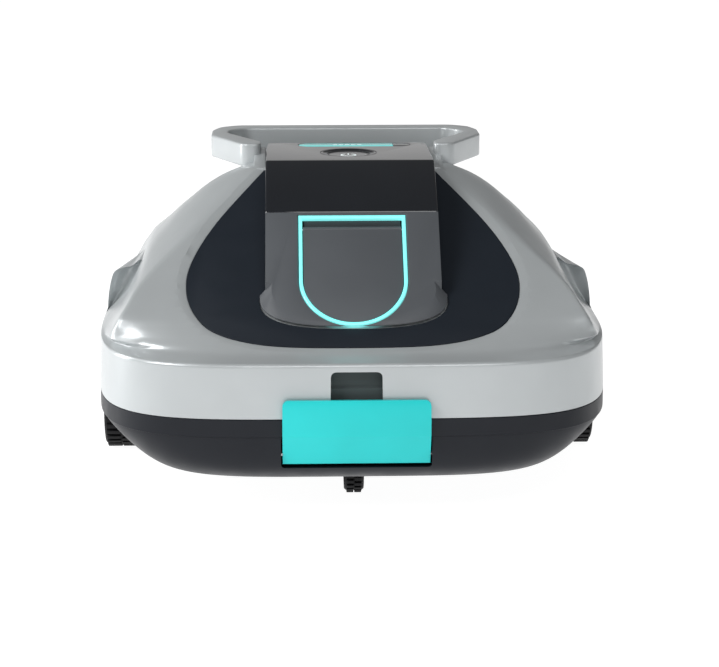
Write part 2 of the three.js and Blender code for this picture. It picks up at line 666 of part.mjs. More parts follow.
function upperShell() {
  const body = cut(shellOuter(), lofted([
    ...shellLevels(WALL, 2.6).map((level, i) => (i ? level : { ...level, z: SEAM_Z - 5 })),
  ]));
  const outer = shellOuter();
  const backing = notchBacking();
  const solidBody = join(body, join(backing, moved(backing, HALF_TURN)).intersect(outer), collars());
  const pocket = prism(grown(inlayOutline(), GAP), CREASE_Z, SHOULDER_Z + 10);
  const frontPocket = pocket.intersect(slopeLayer(-5, INLAY_DEPTH + GAP));
  const nearTop = block(-HALF_WIDTH, HALF_WIDTH, -SHOULDER_HALF_LENGTH - 0.2, HALF_LENGTH, 0, HANDLE_TOP_Z);
  const inlaySeat = cut(frontPocket, nearTop);
  const frontNotch = notch();
  return cut(
    solidBody,
    inlaySeat,
    moved(inlaySeat, HALF_TURN),
    frontNotch,
    moved(frontNotch, HALF_TURN),
    humpFootprint(HUMP_LEDGE, 0, HANDLE_TOP_Z),
    handleSolid(GAP),
  );
}

const HUMP_LEDGE = 5; // the shell's opening under the hump is this much smaller than the hump

// ---------- hump covers ----------

function topCover() {
  const foot = [[OUTLET_TOP_Y, slopeZ(OUTLET_TOP_Y) + GAP], [SHOULDER_HALF_LENGTH, SHOULDER_Z + GAP]];
  const under = [...foot, ...foot.map(([y, z]) => [-y, z]).reverse()];
  const outer = drawnAlongX([...humpTopLine(0), ...under], -HUMP_HALF, HUMP_HALF);
  const stretched = (line, drop) => line.map(([y, z]) => [y * 1.02, z - drop]);
  const hollow = [...stretched(humpTopLine(WALL), 0), ...stretched(under, 20)];
  const inner = drawnAlongX(hollow, WALL - HUMP_HALF, HUMP_HALF - WALL);
  const buttonHole = moved(rod(BEZEL_RADIUS + GAP, SHOULDER_Z, HANDLE_TOP_Z, 24), shift(0, BUTTON_Y, 0));
  const lightSlot = prism(lightOutline(GAP), HUMP_TOP_Z - LIGHT_THICKNESS - GAP, HANDLE_TOP_Z);
  const portHole = moved(rod(PORT_RADIUS + GAP, -20, 5), PORT_FACE);
  return cut(outer, inner, buttonHole, lightSlot, portHole);
}

const BUTTON_Y = -6;
const BEZEL_RADIUS = 19.6;

function buttonBezel() {
  const bore = BUTTON_RADIUS + RUNNING_GAP;
  const under = HUMP_TOP_Z - WALL - GAP;
  const profile = [[bore, under - 3.4], [BEZEL_RADIUS + 2.5, under - 3.4], [BEZEL_RADIUS + 2.5, under]];
  profile.push([BEZEL_RADIUS, under], [BEZEL_RADIUS, HUMP_TOP_Z], [bore, HUMP_TOP_Z], [bore, under - 3.4]);
  return moved(turned(profile, 24), shift(0, BUTTON_Y, 0));
}

const BUTTON_TRAVEL = 1.5;
const BUTTON_FOOT_Z = HUMP_TOP_Z - 9.4;

function powerButton() {
  const flange = BUTTON_RADIUS + 2.2;
  const foot = BUTTON_FOOT_Z;
  const top = HUMP_TOP_Z - 0.7;
  const profile = [[0, foot], [flange, foot], [flange, foot + 2], [BUTTON_RADIUS, foot + 2], [BUTTON_RADIUS, top - 0.8]];
  profile.push([BUTTON_RADIUS - 0.8, top], [9, top - 0.9], [0, top - 1.2]);
  return moved(turned(profile, 24), shift(0, BUTTON_Y, 0));
}

function buttonSpring() {
  return moved(tube(6, 4.8, POD_TOP_Z + GAP, BUTTON_FOOT_Z - GAP, 16), shift(0, BUTTON_Y, 0));
}

const LIGHT_LEFT = -35;
const LIGHT_RIGHT = 45.5;
const LIGHT_Y = CREST_HALF_LENGTH - 11;
const LIGHT_DEPTH = 17;
const LIGHT_THICKNESS = 1.8;

function lightOutline(grow) {
  const radius = LIGHT_DEPTH / 2 + grow;
  const left = LIGHT_LEFT + LIGHT_DEPTH / 2;
  const right = LIGHT_RIGHT - LIGHT_DEPTH / 2;
  return [...arc(right, LIGHT_Y, radius, -90, 90, 6), ...arc(left, LIGHT_Y, radius, 90, 270, 6)];
}

function statusLight() {
  return prism(lightOutline(0), HUMP_TOP_Z - LIGHT_THICKNESS, HUMP_TOP_Z);
}

// Charging port on the rear facet of the hump: local z points out of the facet, local y down it
const PORT_X = 0;
const PORT_Y = 1.5 * CREST_HALF_LENGTH;
const PORT_RADIUS = 8;
const FACET_TILT = Math.atan2(HUMP_TOP_Z - OUTLET_TOP_Z, OUTLET_TOP_Y - CREST_HALF_LENGTH);
const PORT_Z = HUMP_TOP_Z - (PORT_Y - CREST_HALF_LENGTH) * Math.tan(FACET_TILT) + 1.2;
const PORT_FACE = shift(PORT_X, PORT_Y, PORT_Z).multiply(new THREE.Matrix4().makeRotationX(-FACET_TILT));
const CAP_THICKNESS = 2.4;
const CAP_RADIUS = 10;

function chargeSocket() {
  const profile = [[0, -13], [PORT_RADIUS, -13], [PORT_RADIUS, 0.6], [4.5, 0.6], [4.5, -8], [0, -8]];
  const pin = rod(0.9, -8.5, -2, 12);
  return moved(join(turned(profile, 20), pin), PORT_FACE);
}

function chargeCap() {
  const disc = rod(CAP_RADIUS, 1, 1 + CAP_THICKNESS, 24);
  const tab = block(-4, 4, -CAP_RADIUS - 3, -CAP_RADIUS + 2, 1, 1 + CAP_THICKNESS);
  const plug = rod(3.9, -1.6, 1.5, 16);
  return moved(cut(join(disc, tab, plug), rod(1.4, -2, 0.5, 12)), PORT_FACE);
}

// The front outlet cover: a wedge with a tilted face, its lower end rounded
function frontOutletCover() {
  const top = -OUTLET_TOP_Y - GAP;
  const foot = -OUTLET_FOOT_Y;
  const drop = Math.tan(FACE_TILT);
  const faceZ = (y) => OUTLET_TOP_Z + (y + OUTLET_TOP_Y) * drop;
  const side = [[top, faceZ(top)], [foot, faceZ(foot)], [foot, slopeZ(foot) + GAP], [top, slopeZ(top) + GAP]];
  const wedge = drawnAlongX(side, -APRON_HALF, APRON_HALF);
  const footprint = join(
    block(-HUMP_HALF, HUMP_HALF, -APRON_Y - 1, top, 0, HANDLE_TOP_Z),
    prism(apronOutline(0), 0, HANDLE_TOP_Z),
  );
  const wall = COVER_WALL * Math.SQRT2;
  const hollow = drawnAlongX([
    [top + 5, faceZ(top + 5) - wall],
    [foot, faceZ(foot) - wall],
    [foot, slopeZ(foot) - 20],
    [top + 5, slopeZ(top) - 20],
  ], WALL - HUMP_HALF, HUMP_HALF - WALL);
  const inside = hollow.intersect(join(
    block(WALL - HUMP_HALF, HUMP_HALF - WALL, -APRON_Y - 1, top + 6, 0, HANDLE_TOP_Z),
    prism(apronOutline(HUMP_LEDGE), 0, HANDLE_TOP_Z),
  ));
  const mouth = moved(prism(outletOutline(-GAP), -COVER_WALL - 12, 10), OUTLET_FACE);
  return cut(wedge.intersect(footprint), inside, mouth);
}

function frontOutletFrame() {
  const outer = prism(outletOutline(0), -COVER_WALL, 0.4);
  const inner = prism(outletOutline(FRAME_LINE), -COVER_WALL - 1, 2);
  const frame = cut(outer, inner, flapPinShape(FLAP_PIN_RADIUS + GAP, 0.3));
  return moved(frame, OUTLET_FACE);
}

const FLAP_PIN_RADIUS = 0.8;
const FLAP_BARREL_RADIUS = 1.9;
const FLAP_PIN_Y = -(OUTLET_MARGIN + FRAME_LINE + LEDGE + FLAP_BARREL_RADIUS + 0.5);
const FLAP_PIN_Z = -FLAP_BARREL_RADIUS - 0.2;
const FLAP_SIDE_GAP = 0.5;
const FLAP_PLATE = 1.6;

function flapPinShape(radius, extra) {
  const half = OUTLET_HALF - FRAME_LINE + 1.5 + extra;
  return crossRod(radius, -half, half, FLAP_PIN_Y, FLAP_PIN_Z, 16);
}

function frontFlapPin() {
  return moved(flapPinShape(FLAP_PIN_RADIUS, 0), OUTLET_FACE);
}

function frontFlap() {
  const inset = FRAME_LINE + FLAP_SIDE_GAP;
  const half = OUTLET_HALF - inset;
  const outline = outletOutline(inset, -FLAP_PIN_Y - OUTLET_MARGIN);
  const plate = prism(outline, -0.5 - FLAP_PLATE, -0.5);
  const barrel = crossRod(FLAP_BARREL_RADIUS, -half, half, FLAP_PIN_Y, FLAP_PIN_Z, 20);
  const bore = flapPinShape(FLAP_PIN_RADIUS + RUNNING_GAP, 1);
  return moved(cut(join(plate, barrel), bore), OUTLET_FACE);
}

// ---------- ducts and drives ----------

const DUCT_WALL = 2.4;
const DUCT_TOP = -COVER_WALL - 1.2;
const DUCT_END = -46;
const MOTOR_RADIUS = 16;
const MOTOR_TOP = -44;
const MOTOR_LENGTH = Math.min(40, 0.3 * HALF_LENGTH - 18.5); // a short body needs short motors
const MOTOR_END = MOTOR_TOP - MOTOR_LENGTH;
const SHAFT_RADIUS = 2.5;
const HUB_RADIUS = 7;
const SLEEVE_TOP = -37;

function frontDuct() {
  const pipe = tube(DUCT_BORE_RADIUS + DUCT_WALL, DUCT_BORE_RADIUS, DUCT_END, DUCT_TOP - 1, 24);
  const sleeve = tube(MOTOR_RADIUS + GAP + 2, MOTOR_RADIUS + GAP, MOTOR_TOP - 10, SLEEVE_TOP, 20);
  const vane = block(MOTOR_RADIUS + 1, DUCT_BORE_RADIUS + 1, -1.2, 1.2, DUCT_END + 1, SLEEVE_TOP - 1);
  const vanes = [0, 1, 2].map((i) => moved(vane, new THREE.Matrix4().makeRotationZ(Math.PI / 2 + (i * 2 * Math.PI) / 3)));
  const spider = moved(join(pipe, sleeve, ...vanes), shift(0, DUCT_Y, 0));
  const half = OUTLET_HALF - FRAME_LINE - 1;
  const ledgeTop = -OUTLET_MARGIN - FRAME_LINE - GAP;
  const plate = prism([[half, ledgeTop], [-half, ledgeTop], ...arc(0, DUCT_Y, half, 180, 360, 12)], DUCT_TOP - 2, DUCT_TOP);
  const ledge = block(-half, half, ledgeTop - LEDGE, ledgeTop, DUCT_TOP - 1, -2.6);
  const hole = moved(rod(DUCT_BORE_RADIUS, DUCT_TOP - 3, DUCT_TOP + 1, 24), shift(0, DUCT_Y, 0));
  const flange = join(cut(plate, hole), ledge);
  return moved(join(spider, flange), OUTLET_FACE);
}

function frontMotor() {
  const can = rod(MOTOR_RADIUS, MOTOR_END, MOTOR_TOP, 20);
  const nose = rod(8, MOTOR_TOP - 1, SLEEVE_TOP - 2, 16);
  return moved(cut(join(can, nose), rod(SHAFT_RADIUS + RUNNING_GAP, MOTOR_TOP - 18, 0, 20)), DUCT_AXIS);
}

function frontShaft() {
  return moved(rod(SHAFT_RADIUS, MOTOR_TOP - 16, PROPELLER_TOP - 1, 20), DUCT_AXIS);
}

const PROPELLER_TOP = -12;
const PROPELLER_LENGTH = 16;
const BLADE_TIP = DUCT_BORE_RADIUS - 2.5;

function frontPropeller() {
  const base = PROPELLER_TOP - PROPELLER_LENGTH;
  const nose = [[0, base], [HUB_RADIUS, base], [HUB_RADIUS, PROPELLER_TOP - 3], [4, PROPELLER_TOP + 2], [0, PROPELLER_TOP + 3]];
  const hub = turned(nose, 16);
  const pitch = new THREE.Matrix4().makeRotationX(THREE.MathUtils.degToRad(35));
  const blade = moved(block(HUB_RADIUS - 2, BLADE_TIP, -8, 8, -0.9, 0.9), pitch);
  const placed = [0, 1, 2].map((i) => {
    const turn = new THREE.Matrix4().makeRotationZ((i * 2 * Math.PI) / 3);
    return moved(blade, shift(0, 0, PROPELLER_TOP - PROPELLER_LENGTH / 2).multiply(turn));
  });
  const bore = rod(SHAFT_RADIUS + GAP, base - 1, PROPELLER_TOP - 1 + GAP, 20);
  return moved(cut(join(hub, ...placed), bore), DUCT_AXIS);
}

// ---------- sealed pod ----------

const POD_HALF_X = 48;
const POD_HALF_Y = CREST_HALF_LENGTH - 10;
const POD_BOTTOM_Z = CREASE_Z + 6;
const POD_TOP_Z = HUMP_TOP_Z - 16.5;
const LID_THICKNESS = 2.5;
const POD_SEAL = 1.5;
const POD_WALL = 2.5;

function podTub() {
  const top = POD_TOP_Z - LID_THICKNESS - POD_SEAL - 2 * GAP;
  const tub = slab(POD_HALF_X, POD_HALF_Y, POD_BOTTOM_Z, top);
  return cut(tub, slab(POD_HALF_X - POD_WALL, POD_HALF_Y - POD_WALL, POD_BOTTOM_Z + POD_WALL, top + 1));
}

function podSeal() {
  const z = POD_TOP_Z - LID_THICKNESS - POD_SEAL - GAP;
  const ring = slab(POD_HALF_X, POD_HALF_Y, z, z + POD_SEAL);
  return cut(ring, slab(POD_HALF_X - POD_WALL, POD_HALF_Y - POD_WALL, z - 1, z + POD_SEAL + 1));
}

// The lid's side wings reach under the shell's ledge beside the hump
function podLid() {
  const plate = slab(POD_HALF_X, POD_HALF_Y, POD_TOP_Z - LID_THICKNESS, POD_TOP_Z);
  const wings = slab(HUMP_HALF + 4, 12, POD_TOP_Z - LID_THICKNESS, POD_TOP_Z);
  return join(plate, wings);
}

function batteryPack() {
  const z = POD_BOTTOM_Z + POD_WALL + GAP;
  return slab(POD_HALF_X - POD_WALL - 4, POD_HALF_Y - POD_WALL - 2, z, z + 56);
}

function controlBoard() {
  const z = POD_BOTTOM_Z + POD_WALL + 62;
  return slab(POD_HALF_X - POD_WALL - 2, POD_HALF_Y - POD_WALL - 1, z, z + 1.6);
}

// ---------- handle and scoops ----------

const HANDLE_HALF = 99.3;
const HANDLE_REAR_Y = 117.5;
const HANDLE_ROOT_Y = 14;
const ARM_ROOT_INNER_X = HUMP_HALF + 3.75;

function handleOutlines() {
  const corner = 20;
  const outer = mirroredInX([
    [ARM_ROOT_INNER_X + 13, HANDLE_ROOT_Y],
    [HANDLE_HALF, HANDLE_ROOT_Y + 51],
    [HANDLE_HALF, HANDLE_REAR_Y - corner - 8],
    [HANDLE_HALF - 5, HANDLE_REAR_Y - corner / 2],
    [HANDLE_HALF - corner + 2, HANDLE_REAR_Y],
  ]);
  const inner = mirroredInX([
    [ARM_ROOT_INNER_X, HANDLE_ROOT_Y + 14],
    [HANDLE_HALF - 12, HANDLE_ROOT_Y + 62],
    [HANDLE_HALF - 13, HANDLE_REAR_Y - HANDLE_BAR - 12],
    [HANDLE_HALF - 25, HANDLE_REAR_Y - HANDLE_BAR],
  ]);
  return { outer, inner };
}

function handleSolid(grow) {
  const { outer, inner } = handleOutlines();
  const z0 = HANDLE_TOP_Z - HANDLE_DEPTH - grow;
  const z1 = HANDLE_TOP_Z + grow;
  const ring = cut(prism(grown(outer, grow), z0, z1), prism(grown(inner, -grow), z0 - 1, z1 + 1));
  const frontEdge = HANDLE_ROOT_Y - grow;
  const middle = ARM_ROOT_INNER_X - grow;
  const open = block(-middle, middle, frontEdge - 5, HANDLE_ROOT_Y + 20, z0 - 1, z1 + 1);
  const feet = [-1, 1].map((side) => {
    const x = side * (ARM_ROOT_INNER_X + 8);
    const half = 4 + grow;
    return block(x - half, x + half, HANDLE_ROOT_Y + 8 - grow, HANDLE_ROOT_Y + 18 + grow, z0 - 14, z0 + 2);
  });
  return join(cut(ring, open), ...feet);
}

const SCOOP_HALF = 38;

// A short wing on each side face at mid-length, hollowed towards the front
function scoop(side) {
  const tip = [HALF_WIDTH - 27, CREASE_Z + 39];
  const shoulder = [HALF_WIDTH - 7.5, CREASE_Z + 31];
  const outline = [tip, shoulder, [HALF_WIDTH - 2, CREASE_Z + 1], [HALF_WIDTH - 18, CREASE_Z + 1]];
  const upright = new THREE.Matrix4().makeRotationX(Math.PI / 2);
  const wing = moved(prism(outline, -SCOOP_HALF, SCOOP_HALF), upright);
  const clear = moved(shellOuter(), new THREE.Matrix4().makeScale(1 + GAP / 150, 1, 1).setPosition(0, 0, GAP));
  const piece = cut(wing, clear);
  const mirror = new THREE.Matrix4().makeRotationZ(side > 0 ? 0 : Math.PI);
  return moved(piece, mirror);
}

// ---------- the assembly ----------

const FINISH = {
  silver: { color: 0xacb1b3, roughness: 0.35, metalness: 0.3 },
  silverDark: { color: 0x91959a, roughness: 0.4, metalness: 0.3 },
  hull: { color: 0x272a2e, roughness: 0.55, metalness: 0 },
  inlay: { color: 0x2a2f35, roughness: 0.6, metalness: 0 },
  gloss: { color: 0x15171b, roughness: 0.08, metalness: 0 },
  grey: { color: 0x5e6064, roughness: 0.6, metalness: 0 },
  teal: { color: 0x3ad9d9, roughness: 0.35, metalness: 0 },
  light: { color: 0x7ff4ef, roughness: 0.2, metalness: 0 },
  rubber: { color: 0x141414, roughness: 0.8, metalness: 0 },
  seal: { color: 0x202020, roughness: 0.9, metalness: 0 },
  steel: { color: 0xb8bcc0, roughness: 0.3, metalness: 1 },
  duct: { color: 0x2b2d30, roughness: 0.6, metalness: 0 },
  screen: { color: 0x9aa2a6, roughness: 0.7, metalness: 0 },
  cell: { color: 0x2c5f8a, roughness: 0.5, metalness: 0 },
  board: { color: 0x1c6b3a, roughness: 0.5, metalness: 0 },
  clear: { color: 0xb9c4c8, roughness: 0.4, metalness: 0 },
};

const cleaner = new THREE.Group();

function add(name, shape, finish) {
  const mesh = new THREE.Mesh(geometryOf(shape), new THREE.MeshStandardMaterial(FINISH[finish]));
  mesh.name = name;
  cleaner.add(mesh);
}

// A front piece, and its copy at the rear
function addPair(name, shape, finish, ...rearCuts) {
  add(`front_${name}`, shape, finish);
  add(`rear_${name}`, cut(moved(shape, HALF_TURN), ...rearCuts), finish);
}

add('lower_hull', lowerHull(), 'hull');
add('rim_seal', rimSeal(), 'seal');
add('intake_throat', intakeThroat(), 'duct');
screwPlaces().forEach((place, i) => add(`throat_screw_${i + 1}`, throatScrew(place), 'steel'));
addPair('brush_strip', brushStrip(-1), 'rubber');
addPair('latch', frontLatch(), 'teal');
addPair('latch_pin', frontLatchPin(), 'steel');
addPair('wheel', centreWheel(-1), 'rubber');
addPair('wheel_axle', centreAxle(-1), 'steel');
for (const [name, side] of [['left', -1], ['right', 1]]) {
  add(`${name}_roller`, roller(side), 'rubber');
  add(`${name}_axle`, rollerAxle(side), 'steel');
  add(`${name}_scoop`, scoop(side), 'silver');
}
add('filter_frame', filterFrame(), 'clear');
add('filter_screen', filterScreen(), 'screen');
addPair('intake_flap', frontIntakeFlap(), 'seal');
add('upper_shell', upperShell(), 'silver');
addPair('inlay', frontInlay(), 'inlay', handleSolid(GAP));
addPair('outlet_cover', frontOutletCover(), 'grey');
addPair('outlet_frame', frontOutletFrame(), 'teal');
addPair('outlet_flap', frontFlap(), 'grey');
addPair('flap_pin', frontFlapPin(), 'steel');
addPair('duct', frontDuct(), 'duct');
addPair('motor', frontMotor(), 'steel');
addPair('shaft', frontShaft(), 'steel');
addPair('propeller', frontPropeller(), 'duct');
add('pod_tub', podTub(), 'duct');
add('pod_seal', podSeal(), 'seal');
add('pod_lid', podLid(), 'duct');
add('battery_pack', batteryPack(), 'cell');
add('control_board', controlBoard(), 'board');
add('top_cover', topCover(), 'gloss');
add('button_bezel', buttonBezel(), 'gloss');
add('power_button', powerButton(), 'gloss');
add('button_spring', buttonSpring(), 'steel');
add('status_light', statusLight(), 'light');
add('charge_socket', chargeSocket(), 'gloss');
add('charge_cap', chargeCap(), 'rubber');
add('handle', handleSolid(0), 'silver');

export default cleaner;
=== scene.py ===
import math

import bmesh
import bpy
import numpy as np
from mathutils import Matrix, Vector


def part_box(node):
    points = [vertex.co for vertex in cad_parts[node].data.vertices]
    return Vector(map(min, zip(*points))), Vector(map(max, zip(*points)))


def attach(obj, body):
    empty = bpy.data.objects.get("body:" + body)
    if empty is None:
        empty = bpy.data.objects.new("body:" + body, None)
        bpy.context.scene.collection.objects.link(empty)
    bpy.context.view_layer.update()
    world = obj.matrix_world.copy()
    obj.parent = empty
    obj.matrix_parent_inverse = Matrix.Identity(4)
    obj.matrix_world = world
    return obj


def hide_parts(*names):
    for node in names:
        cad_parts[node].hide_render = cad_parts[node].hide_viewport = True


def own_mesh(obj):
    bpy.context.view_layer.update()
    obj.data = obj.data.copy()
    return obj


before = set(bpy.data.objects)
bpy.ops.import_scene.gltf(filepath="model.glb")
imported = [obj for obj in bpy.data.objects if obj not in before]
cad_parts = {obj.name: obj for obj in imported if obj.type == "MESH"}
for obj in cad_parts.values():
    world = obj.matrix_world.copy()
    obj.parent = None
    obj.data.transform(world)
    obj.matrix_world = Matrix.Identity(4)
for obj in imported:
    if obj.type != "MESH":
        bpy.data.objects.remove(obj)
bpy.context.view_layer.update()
print("frame loaded:", len(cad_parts), "nodes")

# Lengths below are in millimetres; makePiece turns them into metres
mm = 0.001


def boxOf(node):
    low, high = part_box(node)
    return low / mm, high / mm


# ---- places taken from the frame ----

hullLow, hullHigh = boxOf("lower_hull")
coverHigh = boxOf("top_cover")[1]
outletLow, outletHigh = boxOf("front_outlet_cover")
handleLow, handleHigh = boxOf("handle")
latchLow, latchHigh = boxOf("front_latch")
rollerLow, rollerHigh = boxOf("right_roller")
wheelLow, wheelHigh = boxOf("front_wheel")
lightLow, lightHigh = boxOf("status_light")
bezelLow, bezelHigh = boxOf("button_bezel")
buttonLow, buttonHigh = boxOf("power_button")
frameHigh = boxOf("front_outlet_frame")[1]

halfWidth = hullHigh.x
halfLength = hullHigh.y
undersideZ = hullLow.z
seamZ = hullHigh.z
bandFootZ = boxOf("upper_shell")[0].z
humpHalf = coverHigh.x
humpTopZ = coverHigh.z
outletTopY = coverHigh.y
outletFootY = -outletLow.y
apronHalf = outletHigh.x
wall = 3.0
gap = 0.3
bandHeight = 36
humpRise = 9.5  # hump above the shoulder of the slope
outletDrop = 28.5  # top of the outlet face below the hump
apronLength = 24.9
apronPower = 2.8
collarWidth = 8.75

creaseZ = seamZ + bandHeight
shoulderZ = humpTopZ - humpRise
slopeFoot = (halfLength - 22.4, creaseZ + 2.6)  # distance from the middle, height
shoulderY = 15.0
slopeRise = (shoulderZ - slopeFoot[1]) / (slopeFoot[0] - shoulderY)


def slopeZ(y):
    return slopeFoot[1] + (slopeFoot[0] - abs(y)) * slopeRise


def slopeY(z):
    return slopeFoot[0] - (z - slopeFoot[1]) / slopeRise


outletTopZ = humpTopZ - outletDrop
outletFootZ = slopeZ(outletFootY) + 1.5
faceTilt = math.atan2(outletTopZ - outletFootZ, outletFootY - outletTopY)
apronY = outletFootY - apronLength
crestHalf = outletTopY / 2
halfTurn = Matrix.Rotation(math.pi, 4, "Z")

# Front outlet face: x across, y up the face from its top edge, z outwards
outletFace = Matrix.Translation((0, -outletTopY, outletTopZ)) @ Matrix.Rotation(faceTilt, 4, "X")


# ---- building pieces ----

def link(piece):
    bpy.context.scene.collection.objects.link(piece)
    return piece


def tidyMesh(mesh):
    work = bmesh.new()
    work.from_mesh(mesh)
    bmesh.ops.remove_doubles(work, verts=work.verts, dist=0.002 * mm)
    bmesh.ops.dissolve_degenerate(work, edges=work.edges, dist=0.001 * mm)
    bmesh.ops.recalc_face_normals(work, faces=work.faces)
    work.to_mesh(mesh)
    work.free()


def makePiece(name, points, faces, *materials):
    mesh = bpy.data.meshes.new(name)
    mesh.from_pydata([Vector(point) * mm for point in points], [], faces)
    tidyMesh(mesh)
    for material in materials:
        mesh.materials.append(material)
    return link(bpy.data.objects.new(name, mesh))


# Closed rings of equal length joined into a skin. Ends are capped, or the last ring joins the first
def loft(name, rings, material, closed=False):
    count = len(rings[0])
    points = [point for ring in rings for point in ring]
    faces = []
    last = len(rings) if closed else len(rings) - 1
    for i in range(last):
        near = i * count
        far = ((i + 1) % len(rings)) * count
        for k in range(count):
            after = (k + 1) % count
            faces.append((near + k, near + after, far + after, far + k))
    if not closed:
        for start in (0, (len(rings) - 1) * count):
            faces.append(tuple(range(start, start + count)))
    return makePiece(name, points, faces, material)


def prism(name, outline, z0, z1, material, place=Matrix.Identity(4)):
    rings = [[place @ Vector((x, y, z)) for x, y in outline] for z in (z0, z1)]
    return loft(name, rings, material)


# An outline in Y and Z drawn along X
def drawn(name, outline, x0, x1, material):
    return loft(name, [[(x, y, z) for y, z in outline] for x in (x0, x1)], material)


def block(name, x0, x1, y0, y1, z0, z1, material):
    return prism(name, [(x0, y0), (x1, y0), (x1, y1), (x0, y1)], z0, z1, material)


# A profile of radius and height turned about Z, then placed
def turned(name, profile, material, place=Matrix.Identity(4), steps=96):
    points = []
    faces = []
    for radius, height in profile:
        for k in range(steps):
            angle = 2 * math.pi * k / steps
            points.append(place @ Vector((radius * math.cos(angle), radius * math.sin(angle), height)))
    count = len(profile)
    for i in range(count):
        following = (i + 1) % count
        for k in range(steps):
            after = (k + 1) % steps
            near = i * steps
            far = following * steps
            faces.append((near + k, near + after, far + after, far + k))
    return makePiece(name, points, faces, material)


def rod(name, radius, z0, z1, material, place=Matrix.Identity(4), steps=48, chamfer=0.3):
    profile = [(0, z0), (radius - chamfer, z0), (radius, z0 + chamfer), (radius, z1 - chamfer)]
    profile += [(radius - chamfer, z1), (0, z1)]
    return turned(name, profile, material, place, steps)


def crossPlace(y, z):
    return Matrix.Translation((0, y, z)) @ Matrix.Rotation(math.pi / 2, 4, "Y")


def settle(piece):
    bpy.context.view_layer.update()
    graph = bpy.context.evaluated_depsgraph_get()
    fresh = bpy.data.meshes.new_from_object(piece.evaluated_get(graph))
    piece.modifiers.clear()
    old = piece.data
    piece.data = fresh
    bpy.data.meshes.remove(old)
    return piece


def carve(piece, *tools, operation="DIFFERENCE", ownColour=False):
    for tool in tools:
        cutter = piece.modifiers.new(tool.name, "BOOLEAN")
        cutter.material_mode = "TRANSFER" if ownColour else "INDEX"
        cutter.operation = operation
        cutter.solver = "EXACT"
        cutter.object = tool
    settle(piece)
    for tool in tools:
        bpy.data.objects.remove(tool)
    return piece


def bevel(piece, width, segments=2, angle=35):
    edge = piece.modifiers.new("edges", "BEVEL")
    edge.width = width * mm
    edge.segments = segments
    edge.limit_method = "ANGLE"
    edge.angle_limit = math.radians(angle)
    edge.use_clamp_overlap = True
    edge.miter_outer = "MITER_ARC"
    settle(piece)
    tidyMesh(piece.data)
    return piece


def merge(piece, *others):
    work = bmesh.new()
    work.from_mesh(piece.data)
    for other in others:
        start = len(work.faces)
        work.from_mesh(other.data)
        work.faces.ensure_lookup_table()
        for material in other.data.materials:
            if material.name not in piece.data.materials:
                piece.data.materials.append(material)
        own = [piece.data.materials.find(material.name) for material in other.data.materials]
        for face in work.faces[start:]:
            face.material_index = own[face.material_index]
        bpy.data.objects.remove(other)
    work.to_mesh(piece.data)
    work.free()
    return piece


def copyOf(piece, name, place=halfTurn):
    mesh = piece.data.copy()
    mesh.name = name
    lengthPlace = place.copy()
    lengthPlace.translation *= mm
    mesh.transform(lengthPlace)
    return link(bpy.data.objects.new(name, mesh))


def smooth(piece, angle=32):
    piece.data.shade_smooth()
    piece.data.set_sharp_from_angle(angle=math.radians(angle))
    return piece


def finishPiece(piece, body, finish, *nodes, angle=32):
    smooth(piece, angle)
    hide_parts(*nodes)
    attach(piece, body)
    return piece


# The same piece at the front and, turned half round, at the rear
def finishPair(piece, bodyEnd, finish, node, ownBody=False, rearCut=()):
    rear = copyOf(piece, piece.name.replace("front", "rear"))
    if rearCut:
        carve(rear, *rearCut)
    for end, each in (("front", piece), ("rear", rear)):
        finishPiece(each, f"{end}_{bodyEnd}" if ownBody else bodyEnd, finish, f"{end}_{node}")


# ---- outlines ----

def arcPoints(cx, cy, radius, start, end, steps):
    angles = np.radians(np.linspace(start, end, steps + 1))
    return [(cx + radius * math.cos(a), cy + radius * math.sin(a)) for a in angles]


# The outline with every corner turned into an arc of about that radius
def rounded(points, radius, steps=6):
    result = []
    count = len(points)
    for i, point in enumerate(points):
        here = Vector(point)
        before = Vector(points[i - 1]) - here
        after = Vector(points[(i + 1) % count]) - here
        turn = math.pi - before.angle(after)
        if turn < math.radians(4):
            result.append(tuple(here))
            continue
        reach = radius * math.tan(turn / 2)
        reach = min(reach, before.length * 0.45, after.length * 0.45)
        start = here + before.normalized() * reach
        end = here + after.normalized() * reach
        for k in range(steps + 1):
            t = k / steps
            result.append(tuple(start * (1 - t) ** 2 + here * 2 * t * (1 - t) + end * t * t))
    return result


def mirrored(points):
    other = [(-x, y) for x, y in reversed(points) if x > 0.001]
    return list(points) + other


# Moves a closed outline outwards by a distance along its normals
def grown(points, distance):
    path = np.array(points)
    tangent = np.roll(path, -1, 0) - np.roll(path, 1, 0)
    normal = np.stack([tangent[:, 1], -tangent[:, 0]], 1)
    normal /= np.linalg.norm(normal, axis=1)[:, None]
    x, y = path.T
    area = np.sum(x * np.roll(y, -1) - np.roll(x, -1) * y)
    return [tuple(p) for p in path + normal * distance * np.sign(area)]


# Smooth curve through rows of values against the first column, without overshoot
def through(rows, at):
    table = np.array(rows, float)
    x = table[:, 0]
    result = []
    for column in table[:, 1:].T:
        step = np.diff(column) / np.diff(x)
        slope = np.concatenate([[step[0]], (step[1:] + step[:-1]) / 2, [step[-1]]])
        for i in range(1, len(x) - 1):
            if step[i - 1] * step[i] <= 0:
                slope[i] = 0
        k = np.clip(np.searchsorted(x, at) - 1, 0, len(x) - 2)
        width = x[k + 1] - x[k]
        t = (at - x[k]) / width
        value = column[k] * (1 + 2 * t) * (1 - t) ** 2 + column[k + 1] * t * t * (3 - 2 * t)
        value += width * (slope[k] * t * (1 - t) ** 2 - slope[k + 1] * t * t * (1 - t))
        result.append(value)
    return np.array(result)


